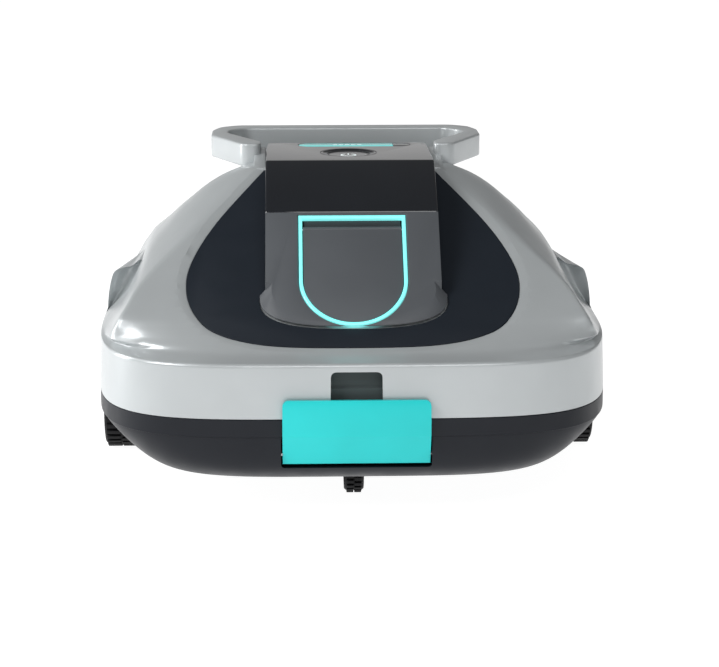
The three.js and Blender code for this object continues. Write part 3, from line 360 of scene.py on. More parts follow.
def evenly(x, y, count, lean):
    length = np.concatenate([[0], np.cumsum(np.hypot(np.diff(x), np.diff(y)))])
    share = np.linspace(0, 1, count)
    share = share ** lean if lean > 0 else 1 - (1 - share) ** -lean
    at = share * length[-1]
    return np.interp(at, length, x), np.interp(at, length, y)


# One closed level |x/a|^p + |y/b|^q = 1, with more points near the corners
def levelRing(a, b, p, q, z, side=30, end=26):
    cornerX = a * 0.5 ** (1 / p)
    cornerY = b * 0.5 ** (1 / q)
    y1 = np.linspace(0, cornerY, 600)
    x1 = a * (1 - (y1 / b) ** q) ** (1 / p)
    x2 = np.linspace(cornerX, 0, 600)
    y2 = b * (1 - (x2 / a) ** p) ** (1 / q)
    sx, sy = evenly(x1, y1, side, -1.7)
    ex, ey = evenly(x2, y2, end, 1.7)
    x = np.concatenate([sx[:-1], ex])
    y = np.concatenate([sy[:-1], ey])
    quarter = list(zip(x, y))
    half = quarter + [(-u, v) for u, v in reversed(quarter[:-1])]
    ring = half + [(u, -v) for u, v in reversed(half[1:-1])]
    return [(u, v, z) for u, v in ring]


# ---- materials ----

def noiseOn(tree, scale, detail=3.0, stretch=(1, 1, 1)):
    coords = tree.nodes.new("ShaderNodeTexCoord")
    mapping = tree.nodes.new("ShaderNodeMapping")
    mapping.inputs["Scale"].default_value = stretch
    noise = tree.nodes.new("ShaderNodeTexNoise")
    noise.inputs["Scale"].default_value = scale
    noise.inputs["Detail"].default_value = detail
    tree.links.new(coords.outputs["Object"], mapping.inputs["Vector"])
    tree.links.new(mapping.outputs["Vector"], noise.inputs["Vector"])
    return noise.outputs["Fac"]


def spread(tree, value, low, high):
    node = tree.nodes.new("ShaderNodeMapRange")
    node.inputs["From Min"].default_value = 0.3
    node.inputs["From Max"].default_value = 0.7
    node.inputs["To Min"].default_value = low
    node.inputs["To Max"].default_value = high
    tree.links.new(value, node.inputs["Value"])
    return node.outputs["Result"]


# Moulded or painted surface: grain in the height, slow drift in colour, patchy roughness
def surface(name, look):
    material = bpy.data.materials.new(name)
    material.use_nodes = True
    tree = material.node_tree
    shader = tree.nodes["Principled BSDF"]
    shader.inputs["Base Color"].default_value = (*look["colour"], 1)
    shader.inputs["Roughness"].default_value = look["roughness"]
    shader.inputs["Metallic"].default_value = look.get("metal", 0)
    shader.inputs["Specular IOR Level"].default_value = look.get("specular", 0.5)
    shader.inputs["Coat Weight"].default_value = look.get("coat", 0)
    shader.inputs["Coat Roughness"].default_value = look.get("coatRoughness", 0.1)
    if "glow" in look:
        shader.inputs["Emission Color"].default_value = (*look["glow"], 1)
        shader.inputs["Emission Strength"].default_value = look["glowStrength"]
    drift = tree.nodes.new("ShaderNodeMix")
    drift.data_type = "RGBA"
    shade = look.get("drift", 0.04)
    drift.inputs["A"].default_value = (*[c * (1 - shade) for c in look["colour"]], 1)
    drift.inputs["B"].default_value = (*[c * (1 + shade) for c in look["colour"]], 1)
    tree.links.new(spread(tree, noiseOn(tree, look.get("driftScale", 22)), 0, 1), drift.inputs["Factor"])
    tree.links.new(drift.outputs["Result"], shader.inputs["Base Color"])
    rough = look["roughness"]
    patch = spread(tree, noiseOn(tree, look.get("patchScale", 60)), rough * 0.88, rough * 1.12)
    tree.links.new(patch, shader.inputs["Roughness"])
    grain = tree.nodes.new("ShaderNodeBump")
    grain.inputs["Strength"].default_value = look.get("grain", 0.15)
    grain.inputs["Distance"].default_value = look.get("grainDepth", 0.05) * mm
    height = noiseOn(tree, look.get("grainScale", 1400), 2.0, look.get("stretch", (1, 1, 1)))
    tree.links.new(height, grain.inputs["Height"])
    tree.links.new(grain.outputs["Normal"], shader.inputs["Normal"])
    return material


# Satin silver paint with a fine metallic flake
silverPaint = surface("silverPaint", {
    "colour": (0.52, 0.55, 0.56), "roughness": 0.33, "metal": 0.25, "coat": 0.25, "coatRoughness": 0.18,
    "grain": 0.1, "grainScale": 2600, "drift": 0.025,
})
# Dark moulded hull with a spark-eroded texture
hullPlastic = surface("hullPlastic", {
    "colour": (0.011, 0.013, 0.018), "roughness": 0.44, "specular": 0.25,
    "grain": 0.35, "grainDepth": 0.06, "grainScale": 900,
})
# Blue-black textured inlay
inlayPlastic = surface("inlayPlastic", {
    "colour": (0.015, 0.020, 0.028), "roughness": 0.5, "grain": 0.45, "grainDepth": 0.07, "grainScale": 800,
    "specular": 0.22,
})
# Deep gloss cover on the hump
glossCover = surface("glossCover", {
    "colour": (0.010, 0.012, 0.016), "roughness": 0.12, "coat": 1.0, "coatRoughness": 0.04,
    "grain": 0.02, "grainScale": 300, "drift": 0.1,
})
# Satin grey outlet cover
greyPlastic = surface("greyPlastic", {
    "colour": (0.10, 0.108, 0.118), "roughness": 0.4, "grain": 0.25, "grainScale": 1100, "specular": 0.3,
})
# Rougher dark grey inside the latch notch: painted shade, the silver shell darkened where the recess lies in shadow
notchPaintedShade = surface("notchPaintedShade", {
    "colour": (0.075, 0.092, 0.094), "roughness": 0.55, "grain": 0.3, "grainScale": 900, "specular": 0.2,
})
tealPlastic = surface("tealPlastic", {
    "colour": (0.018, 0.66, 0.66), "roughness": 0.36, "coat": 0.1, "coatRoughness": 0.2, "specular": 0.3,
    "grain": 0.1, "grainScale": 1500,
})
# Teal outlet frame with a painted glow: it emits light though it is no lamp
tealFramePaintedGlow = surface("tealFramePaintedGlow", {
    "colour": (0.2, 0.86, 0.84), "roughness": 0.26, "coat": 0.4, "grain": 0.06, "glow": (0.27, 0.86, 0.84),
    "glowStrength": 0.62,
})
litWindow = surface("litWindow", {
    "colour": (0.16, 0.72, 0.70), "roughness": 0.2, "coat": 1.0, "grain": 0.05, "grainScale": 700,
    "glow": (0.10, 0.62, 0.60), "glowStrength": 0.55, "driftScale": 35, "drift": 0.12,
})
darkWindow = surface("darkWindow", {
    "colour": (0.012, 0.016, 0.018), "roughness": 0.14, "coat": 1.0, "grain": 0.03,
})
whiteMark = surface("whiteMark", {
    "colour": (0.8, 0.85, 0.85), "roughness": 0.4, "grain": 0.05,
    "glow": (0.8, 0.9, 0.9), "glowStrength": 0.6,
})
blackRubber = surface("blackRubber", {
    "colour": (0.006, 0.006, 0.007), "roughness": 0.6, "grain": 0.4, "grainDepth": 0.08, "grainScale": 700,
    "specular": 0.2,
})
sealRubber = surface("sealRubber", {"colour": (0.014, 0.014, 0.015), "roughness": 0.75, "grain": 0.4})
brightSteel = surface("brightSteel", {
    "colour": (0.62, 0.64, 0.66), "roughness": 0.2, "metal": 1.0, "grain": 0.2, "grainScale": 420,
    "stretch": (1, 14, 14),
})
# Chrome for the crescents laid where highlights show on the bezel ring: painted highlight
chromeHighlight = surface("chromeHighlight", {
    "colour": (0.5, 0.52, 0.55), "roughness": 0.12, "metal": 1.0, "grain": 0.03,
})
innerPlastic = surface("innerPlastic", {"colour": (0.026, 0.028, 0.032), "roughness": 0.5, "grain": 0.4})
trayPlastic = surface("trayPlastic", {
    "colour": (0.42, 0.47, 0.5), "roughness": 0.3, "coat": 0.4, "grain": 0.15,
})
screenMesh = surface("screenMesh", {
    "colour": (0.3, 0.34, 0.36), "roughness": 0.55, "grain": 0.5, "grainScale": 2400,
})
cellWrap = surface("cellWrap", {
    "colour": (0.02, 0.11, 0.27), "roughness": 0.28, "coat": 0.6, "grain": 0.3, "grainScale": 260,
})
boardGreen = surface("boardGreen", {
    "colour": (0.01, 0.13, 0.05), "roughness": 0.34, "coat": 0.5, "drift": 0.3, "driftScale": 160,
    "grain": 0.5, "grainScale": 380,
})
print("materials made")


# ---- upper shell ----

shell = {
    "square": 4.6,
    "crease": 3.0,  # radius round the crease
    # share of the rise, side inset, ridge inset, ridge behind the end, ridge radius
    "rows": [
        (0, 1, 8.1, 61, 16), (0.03, 3, 10.1, 35, 11), (0.09, 9, 12.8, 20, 6), (0.18, 17, 17.5, 5, 3.4),
        (0.25, 21, 22, 1.2, 3), (0.34, 25, 28, 0, 3.2), (0.455, 31, 39.5, 0, 3.8), (0.566, 41, 53, 0, 4.6),
        (0.717, 56, 71, 0, 5.6), (0.93, 84, 97, 0, 7), (1, 101, 105, 0, 7),
    ],
    "bow": 2.4,
    "turn": 5.5,
    "settled": 0.06,  # share of the rise where the ridge is fully formed
    "rise": 44,  # levels up the slope
    "notch": (16.5, creaseZ - 5.4, 9.0),  # half width, top, depth
}


def smoothMax(first, second, width):
    return (first + second) / 2 + math.sqrt(((first - second) / 2) ** 2 + width ** 2)


# Height of the end slope at a distance from the middle, running softly out onto the fender
def endHeight(b):
    fender = creaseZ + 0.1 * (halfLength - 1.5 - shell["crease"] - b)
    return smoothMax(fender, slopeFoot[1] + (slopeFoot[0] - b) * slopeRise, 1.1) - 0.25


def cutBack(x, y, reach, fromEnd):
    length = np.concatenate([[0], np.cumsum(np.hypot(np.diff(x), np.diff(y)))])
    total = length[-1]
    span = (0, total - reach) if fromEnd else (reach, total)
    at = span[0] + (span[1] - span[0]) * np.linspace(0, 1, 300)
    return np.interp(at, length, x), np.interp(at, length, y)


# One level of the body: a side line bowed in towards the ridge, the ridge itself, and the end line
def ridgeRing(a, b, ridgeX, ridgeY, radius, share, z, side=30, turn=7, end=26):
    t = np.linspace(0, 1, 500)
    power = shell["square"]
    roundY = b * 0.17 ** (1 / power) * t
    roundX = a * (1 - (roundY / b) ** power) ** (1 / power)
    lastX = roundX[-1] * (1 - t)
    lastY = b * (1 - (lastX / a) ** power) ** (1 / power)
    sideX = roundX * (1 - share) + (a - (a - ridgeX) * t ** shell["bow"]) * share
    sideY = roundY * (1 - share) + ridgeY * t * share
    endX = lastX * (1 - share) + ridgeX * (1 - t) * share
    endY = lastY * (1 - share) + (b - (b - ridgeY) * (1 - t) ** shell["turn"]) * share
    cornerPoint = Vector((sideX[-1], sideY[-1]))
    sideX, sideY = cutBack(sideX, sideY, radius, True)
    endX, endY = cutBack(endX, endY, radius, False)
    start = Vector((sideX[-1], sideY[-1]))
    stop = Vector((endX[0], endY[0]))
    sx, sy = evenly(sideX, sideY, side, -1.3)
    ex, ey = evenly(endX, endY, end, 1.3)
    bend = []
    for k in range(1, turn):
        u = k / turn
        bend.append(tuple(start * (1 - u) ** 2 + cornerPoint * 2 * u * (1 - u) + stop * u * u))
    quarter = list(zip(sx, sy)) + bend + list(zip(ex, ey))
    half = quarter + [(-u, v) for u, v in reversed(quarter[:-1])]
    ring = half + [(u, -v) for u, v in reversed(half[1:-1])]
    return [(u, v, z) for u, v in ring]


# The row of the shell's table at a share of the rise
def bodyRow(share):
    return [column[0] for column in through(shell["rows"], np.array([max(share, 1e-6)]))]


def ringAt(z, b, inset=0.0, drop=0.0):
    share = max((z - creaseZ) / (shoulderZ - creaseZ), 0)
    side, ridgeIn, behind, radius = bodyRow(share)
    formed = min(max(share / shell["settled"], 0), 1)
    formed = formed * formed * (3 - 2 * formed)
    a = halfWidth - side - inset
    ridgeX = halfWidth - ridgeIn - inset
    ridgeY = b - inset - max(behind, 0)
    radius = min(radius, 0.3 * ridgeX)
    return ridgeRing(a, b - inset, ridgeX, ridgeY, radius, formed, z - drop)


def bodyRings():
    rings = []
    r = shell["crease"]
    bandTop = creaseZ - r
    low = (halfWidth, halfLength)
    high = (halfWidth - 1, halfLength - 1.5)
    for t in np.linspace(0, 1, 6):
        a = low[0] + (high[0] - low[0]) * t
        b = low[1] + (high[1] - low[1]) * t
        rings.append(ridgeRing(a, b, a - 3, b - 61, 3, 0, bandFootZ + (bandTop - bandFootZ) * t))
    for turn in np.radians(np.linspace(10, 82, 8)):
        b = high[1] - r + r * math.cos(turn)
        a = high[0] - 0.4 * (1 - math.cos(turn))
        rings.append(ridgeRing(a, b, a - 3, b - 61, 3, 0, bandTop + r * math.sin(turn)))
    for b in np.linspace(high[1] - r - 0.6, slopeFoot[0] - 22, 20):
        rings.append(ringAt(endHeight(b), b))
    start = slopeFoot[0] - 24
    for b in start + (shoulderY - start) * np.linspace(0, 1, shell["rise"]):
        rings.append(ringAt(slopeZ(b), b))
    return rings


def innerRings():
    rings = []
    for inX, inY, z in ((0.2, 0.3, bandFootZ - 3), (1, 1.5, creaseZ - 4)):
        a = halfWidth - wall - inX
        b = halfLength - wall - inY
        rings.append(ridgeRing(a, b, a - 3, b - 61, 3, 0, z))
    for b in np.linspace(halfLength - 12, shoulderY + wall, 16):
        z = endHeight(b) if b > slopeFoot[0] - 22 else slopeZ(b)
        rings.append(ringAt(z, b, wall, wall))
    return rings


def inlayLine():
    foot = -slopeFoot[0]
    knots = [(humpHalf + 1.5, foot + 157), (humpHalf + 33.5, foot + 110), (humpHalf + 49.5, foot + 76)]
    knots += [(humpHalf + 52.5, foot + 52), (humpHalf + 45.5, foot + 31), (humpHalf + 30, foot + 16.5)]
    knots += [(humpHalf - 3.5, foot + 7.5), (0, foot + 5.6)]
    padded = [knots[0]] + knots + [(-knots[-2][0], knots[-2][1])]
    path = []
    for i in range(1, len(padded) - 2):
        p0, p1, p2, p3 = [Vector(p) for p in padded[i - 1:i + 3]]
        for k in range(12):
            t = k / 12
            point = 0.5 * (2 * p1 + (p2 - p0) * t + (2 * p0 - 5 * p1 + 4 * p2 - p3) * t ** 2
                           + (3 * p1 - p0 - 3 * p2 + p3) * t ** 3)
            path.append(tuple(point))
    return mirrored(path + [knots[-1]])


# The teardrop at several growths and depths under the slope
def teardrop(name, layers, material):
    line = inlayLine()
    rings = []
    for growth, depth in layers:
        rings.append([(x, y, slopeZ(y) - depth) for x, y in (grown(line, growth) if growth else line)])
    return loft(name, rings, material)


def apronLine(inset, steps=56):
    halfX = apronHalf - inset
    reach = outletFootY - apronY - inset
    power = 2 / apronPower
    line = []
    for x, y in arcPoints(0, 0, 1, 0, -180, steps):
        line.append((halfX * math.copysign(abs(x) ** power, x), -apronY - reach * abs(y) ** power))
    return line


def humpPrism(name, inset, z0, z1, material):
    tongue = prism(name, apronLine(inset), z0, z1, material)
    rear = copyOf(tongue, name + "Rear")
    half = humpHalf - inset
    middle = block(name + "Middle", -half, half, -apronY - 1, apronY + 1, z0, z1, material)
    return carve(middle, tongue, rear, operation="UNION")


def notchTool():
    half, top, depth = shell["notch"]
    outline = rounded([(half, seamZ - 5), (half, top), (-half, top), (-half, seamZ - 5)], 4)
    rings = []
    for into, grow in ((depth, -1.5), (depth - 1.5, 0), (1, 0), (-4, 2.5)):
        y = into - halfLength
        ring = []
        for x, z in outline:
            lift = grow if z > seamZ + 5 else 0
            ring.append((x + math.copysign(grow, x), y, z + lift))
        rings.append(ring)
    # The cutter's darker grey, painted shade, passes onto the notch's inner faces
    tool = loft("notchTool", rings, notchPaintedShade)
    middleZ = (seamZ + top) / 2 + 4
    backY = depth - halfLength
    line = [(backY + 1, middleZ - 9), (backY - 2.2, middleZ - 9), (backY - 2.2, middleZ - 0.8),
            (backY + 1, middleZ + 1.4)]
    rib = drawn("rib", line, -half - 1, half + 1, notchPaintedShade)
    return carve(tool, rib)


def collarOutline():
    rear = 36
    top = shoulderZ + 7.5
    return [(-shoulderY, shoulderZ - 0.5), (rear - 8, top), (rear, top), (rear, slopeZ(rear) - 2),
            (shoulderY, shoulderZ - 2), (-shoulderY, shoulderZ - 2)]


def buildShell():
    skin = loft("upperShell", bodyRings(), silverPaint)
    inner = loft("shellInner", innerRings(), silverPaint)
    ringWidth = 5.8
    layers = [(ringWidth + 2.4, -5), (ringWidth, 0), (0.35, 1.7), (0.35, 2.3)]
    pocket = teardrop("pocket", layers, silverPaint)
    top = block("keepTop", -halfWidth, halfWidth, -shoulderY - 0.2, halfLength, seamZ, humpTopZ + 30,
                silverPaint)
    carve(pocket, top)
    rearPocket = copyOf(pocket, "rearPocket")
    notchFront = notchTool()
    notchRear = copyOf(notchFront, "notchRear")
    half, backTop, depth = shell["notch"]
    backing = block("backing", -half - wall, half + wall, 2 - halfLength, depth + wall - halfLength,
                    bandFootZ, backTop + wall, silverPaint)
    backingRear = copyOf(backing, "backingRear")
    opening = humpPrism("opening", 5, creaseZ - 20, humpTopZ + 20, silverPaint)
    carve(skin, inner)
    carve(skin, backing, backingRear, operation="UNION")
    # The notch cutters hand their painted-shade grey to the notch faces
    carve(skin, notchFront, notchRear, ownColour=True)
    carve(skin, pocket, rearPocket, opening)
    collarX = humpHalf + collarWidth
    for side in (-1, 1):
        ends = sorted((side * (humpHalf + gap), side * collarX))
        collar = bevel(drawn("collar", collarOutline(), ends[0], ends[1], silverPaint), 0.7, 3, 20)
        merge(skin, collar)
    return skin


upperShell = buildShell()
finishPiece(upperShell, "upper", "silver_shell", "upper_shell", angle=28)
print("upper shell", len(upperShell.data.polygons))


# ---- inlays beside the hump ----

def inlayPlate():
    plate = teardrop("frontInlay", [(0, 2.0), (0, 1.25), (-0.3, 1.0)], inlayPlastic)
    hump = humpPrism("humpClear", -gap, seamZ, humpTopZ + 30, inlayPlastic)
    top = block("topClear", -halfWidth, halfWidth, -shoulderY - 0.5, halfLength, 0, humpTopZ + 30,
                inlayPlastic)
    return carve(plate, hump, top)


# The feet stop under the grip, inside the shell's sockets
def handleFeet(grow):
    feet = []
    for side in (-1, 1):
        x = side * (humpHalf + 3.75 + 8)
        half = 4 + grow
        feet.append(block("foot", x - half, x + half, 22 - grow, 32 + grow, handleLow.z - grow, handleHigh.z - 8,
                          silverPaint))
    return feet


finishPair(inlayPlate(), "upper", "inlay_plastic", "inlay", rearCut=handleFeet(gap))
print("inlays")


# ---- hump: top cover, status light, button ----

port = {"radius": 8, "tilt": math.atan2(humpTopZ - outletTopZ, outletTopY - crestHalf)}
port["y"] = 1.5 * crestHalf
port["z"] = humpTopZ - (port["y"] - crestHalf) * math.tan(port["tilt"]) + 1.2
portFace = Matrix.Translation((0, port["y"], port["z"])) @ Matrix.Rotation(-port["tilt"], 4, "X")
lightMiddleY = (lightLow.y + lightHigh.y) / 2
lightRadius = (lightHigh.y - lightLow.y) / 2
buttonY = (buttonLow.y + buttonHigh.y) / 2
buttonPlace = Matrix.Translation((0, buttonY, 0))


def crestLine(drop):
    bulge = 1.5
    rear = [(crestHalf, humpTopZ)]
    for t in (1 / 3, 2 / 3):
        rear.append((crestHalf + (outletTopY - crestHalf) * t, humpTopZ - outletDrop * t + bulge))
    rear.append((outletTopY, outletTopZ))
    front = [(-y, z) for y, z in reversed(rear)]
    return [(y, z - drop) for y, z in front + rear]


def lightLine(grow):
    radius = lightRadius + grow
    right = arcPoints(lightHigh.x - lightRadius, lightMiddleY, radius, -90, 90, 16)
    left = arcPoints(lightLow.x + lightRadius, lightMiddleY, radius, 90, 270, 16)
    return right + left


def buildTopCover():
    foot = [(outletTopY, slopeZ(outletTopY) + gap), (shoulderY, shoulderZ + gap)]
    under = foot + [(-y, z) for y, z in reversed(foot)]
    cover = bevel(drawn("topCover", crestLine(0) + under, -humpHalf, humpHalf, glossCover), 1.3, 4, 24)
    hollow = [(y * 1.02, z) for y, z in crestLine(wall)] + [(y * 1.02, z - 20) for y, z in under]
    inner = drawn("coverHollow", hollow, wall - humpHalf, humpHalf - wall, glossCover)
    bezelHole = turned("bezelHole", [(0, shoulderZ - 8), (19.9, shoulderZ - 8), (19.9, humpTopZ - 0.5),
                                     (20.6, humpTopZ + 0.2), (20.6, humpTopZ + 5), (0, humpTopZ + 5)],
                       glossCover, buttonPlace, 72)
    slot = loft("lightSlot", [[(x, y, z) for x, y in lightLine(grow)] for grow, z in
                              ((gap, lightLow.z - gap), (gap, humpTopZ - 0.4), (0.9, humpTopZ + 0.2), (0.9, humpTopZ + 5))],
                glossCover)
    portHole = rod("portHole", port["radius"] + gap, -20, 5, glossCover, portFace)
    return carve(cover, inner, bezelHole, slot, portHole)


finishPiece(buildTopCover(), "upper", "gloss_cover", "top_cover")


def buildLight():
    depth = lightHigh.z - lightLow.z
    split = lightHigh.x - 12.5
    plate = [[(x, y, z) for x, y in lightLine(grow)] for grow, z in
             ((0, lightLow.z), (0, lightHigh.z - 0.45), (-0.13, lightHigh.z - 0.13), (-0.45, lightHigh.z))]
    lit = loft("statusLight", plate, litWindow)
    dark = loft("unlitPart", plate, darkWindow)
    reach = lightHigh.x + 5
    keepLit = block("keepLit", split, reach, lightLow.y - 5, lightHigh.y + 5, lightLow.z - 5,
                    lightHigh.z + 5, litWindow)
    keepDark = block("keepDark", -reach, split + 0.25, lightLow.y - 5, lightHigh.y + 5, lightLow.z - 5,
                     lightHigh.z + 5, darkWindow)
    carve(lit, keepLit)
    carve(dark, keepDark)
    merge(lit, dark)
    for i in range(5):  # plain level pips under the window
        x = (i - 2) * 4.4
        pip = loft("pip", [[(u, v, z) for u, v in rounded([(x - 1.6, lightMiddleY - 0.7), (x + 1.6, lightMiddleY - 0.7),
                           (x + 1.6, lightMiddleY + 0.7), (x - 1.6, lightMiddleY + 0.7)], 0.6)]
                           for z in (lightHigh.z - depth * 0.2, lightHigh.z + 0.02)], whiteMark)
        merge(lit, pip)
    return lit


finishPiece(buildLight(), "upper", "light_window", "status_light")


# Chrome crescents at the left and right of the bezel ring, placed where highlights show: painted highlight
def highlightCrescent(side, material):
    inner, outer = 15.6, 18.9
    upper = []
    lower = []
    for t in np.linspace(-1, 1, 41):
        angle = math.radians(62 * t) + (0 if side > 0 else math.pi)
        swell = (1 - t * t) ** 0.5 if abs(t) < 1 else 0
        middle = (inner + outer) / 2
        half = (outer - inner) / 2 * swell + 0.06
        upper.append(((middle + half) * math.cos(angle), (middle + half) * math.sin(angle)))
        lower.append(((middle - half) * math.cos(angle), (middle - half) * math.sin(angle)))
    outline = upper + lower[::-1]
    z = bezelHigh.z - 1.05
    rings = [[buttonPlace @ Vector((x, y, h)) for x, y in outline] for h in (z - 0.5, z)]
    return loft("highlightCrescent", rings, material)


def buildBezel():
    top = bezelHigh.z
    outer = bezelHigh.x - 2.5
    bore = 14.4
    under = humpTopZ - wall - gap
    profile = [(bore, bezelLow.z), (bezelHigh.x, bezelLow.z), (bezelHigh.x, under), (outer, under),
               (outer, top - 0.3), (outer - 0.3, top), (outer - 0.8, top - 0.05), (outer - 1.6, top - 0.7),
               (outer - 3.2, top - 1.35),
               (bore + 0.6, top - 1.6), (bore, top - 2.0)]
    bezel = turned("buttonBezel", profile, glossCover, buttonPlace, 128)
    for side in (-1, 1):
        merge(bezel, highlightCrescent(side, chromeHighlight))
    return bezel


finishPiece(buildBezel(), "upper", "gloss_cover", "button_bezel")


def buildButton():
    foot = buttonLow.z
    top = buttonHigh.z
    flange = buttonHigh.x
    radius = 14.0
    dish = [(radius * t, top - 0.9 - 0.35 * math.cos(t * math.pi / 2)) for t in np.linspace(0.9, 0, 12)]
    profile = [(0, foot), (flange, foot), (flange, foot + 2), (radius, foot + 2), (radius, top - 1.2),
               (radius - 0.35, top - 0.8)] + dish
    button = turned("powerButton", profile, glossCover, buttonPlace, 112)
    face = top - 1.12
    outer = arcPoints(0, 0, 5.6, 118, 422, 44)
    inner = arcPoints(0, 0, 4.7, 422, 118, 44)
    levels = (face - 0.3, face)
    rings = [[buttonPlace @ Vector((x, y, z)) for x, y in outer + inner] for z in levels]
    ring = loft("ringMark", rings, whiteMark)
    bar = [(-0.5, 2.4), (0.5, 2.4), (0.5, 7.0), (-0.5, 7.0)]
    stem = loft("barMark", [[buttonPlace @ Vector((x, y, z)) for x, y in bar] for z in levels], whiteMark)
    return merge(button, ring, stem)


finishPiece(buildButton(), "power_button", "gloss_cover", "power_button")


# ---- outlets ----

outletHalf = frameHigh.x
faceLength = math.hypot(outletFootY - outletTopY, outletTopZ - outletFootZ)
outletRoundY = -(3 + faceLength - 2.4 - outletHalf)
frameLine = 2.5
ledge = 5.5


def outletLine(inset, top=None, steps=48):
    half = outletHalf - inset
    topY = -3 - (inset if top is None else top)
    return [(half, topY), (-half, topY)] + arcPoints(0, outletRoundY, half, 180, 360, steps)


def buildOutletCover():
    top = -outletTopY - gap
    foot = -outletFootY
    drop = math.tan(faceTilt)

    def faceZ(y):
        return outletTopZ + (y + outletTopY) * drop

    side = [(top, faceZ(top)), (foot, faceZ(foot)), (foot, slopeZ(foot) + gap), (top, slopeZ(top) + gap)]
    cover = drawn("frontOutletCover", side, -apronHalf, apronHalf, greyPlastic)
    tongue = loft("tongue", [[(x, y, slopeZ(y) + rise) for x, y in apronLine(inset, 72)] for inset, rise in
                             ((0, -20), (0, 0.9), (1.2, 1.9), (9, 11), (20, 40))], greyPlastic)
    body = block("coverBody", -humpHalf, humpHalf, -apronY - 1, top, 0, humpTopZ + 10, greyPlastic)
    carve(body, tongue, operation="UNION")
    carve(cover, body, operation="INTERSECT")
    bevel(cover, 0.9, 3, 30)
    deep = wall * math.sqrt(2)
    under = [(top + 5, faceZ(top + 5) - deep), (foot, faceZ(foot) - deep), (foot, slopeZ(foot) - 20),
             (top + 5, slopeZ(top) - 20)]
    hollow = drawn("coverUnder", under, wall - humpHalf, humpHalf - wall, greyPlastic)
    inside = humpHalf - wall
    room = block("room", -inside, inside, -apronY - 1, top + 6, 0, humpTopZ + 10, greyPlastic)
    roomTongue = prism("roomTongue", apronLine(5), 0, humpTopZ + 10, greyPlastic)
    carve(room, roomTongue, operation="UNION")
    carve(hollow, room, operation="INTERSECT")
    rings = [[outletFace @ Vector((x, y, z)) for x, y in outletLine(inset)] for inset, z in
             ((-gap, -wall - 12), (-gap, -0.7), (-1.2, 0.2), (-1.2, 12))]
    mouth = loft("mouth", rings, greyPlastic)
    return carve(cover, hollow, mouth)


finishPair(buildOutletCover(), "upper", "grey_plastic", "outlet_cover")


def buildOutletFrame():
    section = [(0, -3), (0, -0.25), (0.18, 0.12), (0.6, 0.38), (frameLine - 0.6, 0.38), (frameLine - 0.18, 0.12),
               (frameLine, -0.25), (frameLine, -3)]
    rings = [[outletFace @ Vector((x, y, z)) for x, y in outletLine(inset)] for inset, z in section]
    # The frame's teal glows as painted light
    return loft("frontOutletFrame", rings, tealFramePaintedGlow, closed=True)


finishPair(buildOutletFrame(), "upper", "teal_plastic", "outlet_frame")


def buildFlap():
    inset = frameLine + 0.5
    barrelRadius = 1.9
    hingeY = -(3 + frameLine + ledge + barrelRadius + 0.5)
    hingeZ = -barrelRadius - 0.2
    layers = ((0, -2.1), (0, -0.85), (0.12, -0.62), (0.4, -0.5))
    rings = []
    for grow, z in layers:
        line = outletLine(inset + grow, -hingeY - 3 + grow)
        rings.append([outletFace @ Vector((x, y, z)) for x, y in line])
    flap = loft("frontOutletFlap", rings, greyPlastic)
    place = outletFace @ crossPlace(hingeY, hingeZ)
    half = outletHalf - inset
    barrel = rod("barrel", barrelRadius, -half, half, greyPlastic, place, 32)
    return merge(flap, barrel)


finishPair(buildFlap(), "outlet_flap", "grey_plastic", "outlet_flap", ownBody=True)
print("hump pieces")


# ---- handle ----

def handleLine():
    root = humpHalf + 3.75
    outerX = handleHigh.x
    rearY = handleHigh.y
    frontY = handleLow.y
    bar = 16.5
    path = [
        (root, frontY), (root + 13, frontY), (outerX, frontY + 51), (outerX, rearY - 28), (outerX - 5, rearY - 10),
        (outerX - 18, rearY),
    ]
    path += [(-x, y) for x, y in reversed(path)]
    inner = [(root, frontY + 14), (outerX - 12, frontY + 62), (outerX - 13, rearY - bar - 12),
             (outerX - 25, rearY - bar)]
    return rounded(path + [(-x, y) for x, y in inner] + inner[::-1], 16, 7)


def buildHandle():
    depth = 16.5
    grip = prism("handle", handleLine(), handleHigh.z - depth, handleHigh.z, silverPaint)
    bevel(grip, 1.5, 4, 50)
    for foot in handleFeet(0):
        merge(grip, bevel(foot, 0.4, 2, 40))
    return grip


finishPiece(buildHandle(), "upper", "silver_shell", "handle")


# ---- scoops on the side faces ----

def sideX(z, y=0):
    share = max((z - creaseZ) / (shoulderZ - creaseZ), 1e-6)
    side, ridgeIn = bodyRow(share)[:2]
    lean = min(abs(y) / max(slopeY(z), 1), 1) ** shell["bow"]
    return halfWidth - side - (ridgeIn - side) * lean


# Share along the scoop's rim, inset from the widest place, height over the crease
scoopRim = [(0, 2.6, 1.2), (0.2, 3.4, 12), (0.42, 5.6, 24), (0.56, 8.2, 30), (0.68, 13.5, 32.4),
            (0.84, 19.5, 33.6), (1, 25.4, 38)]


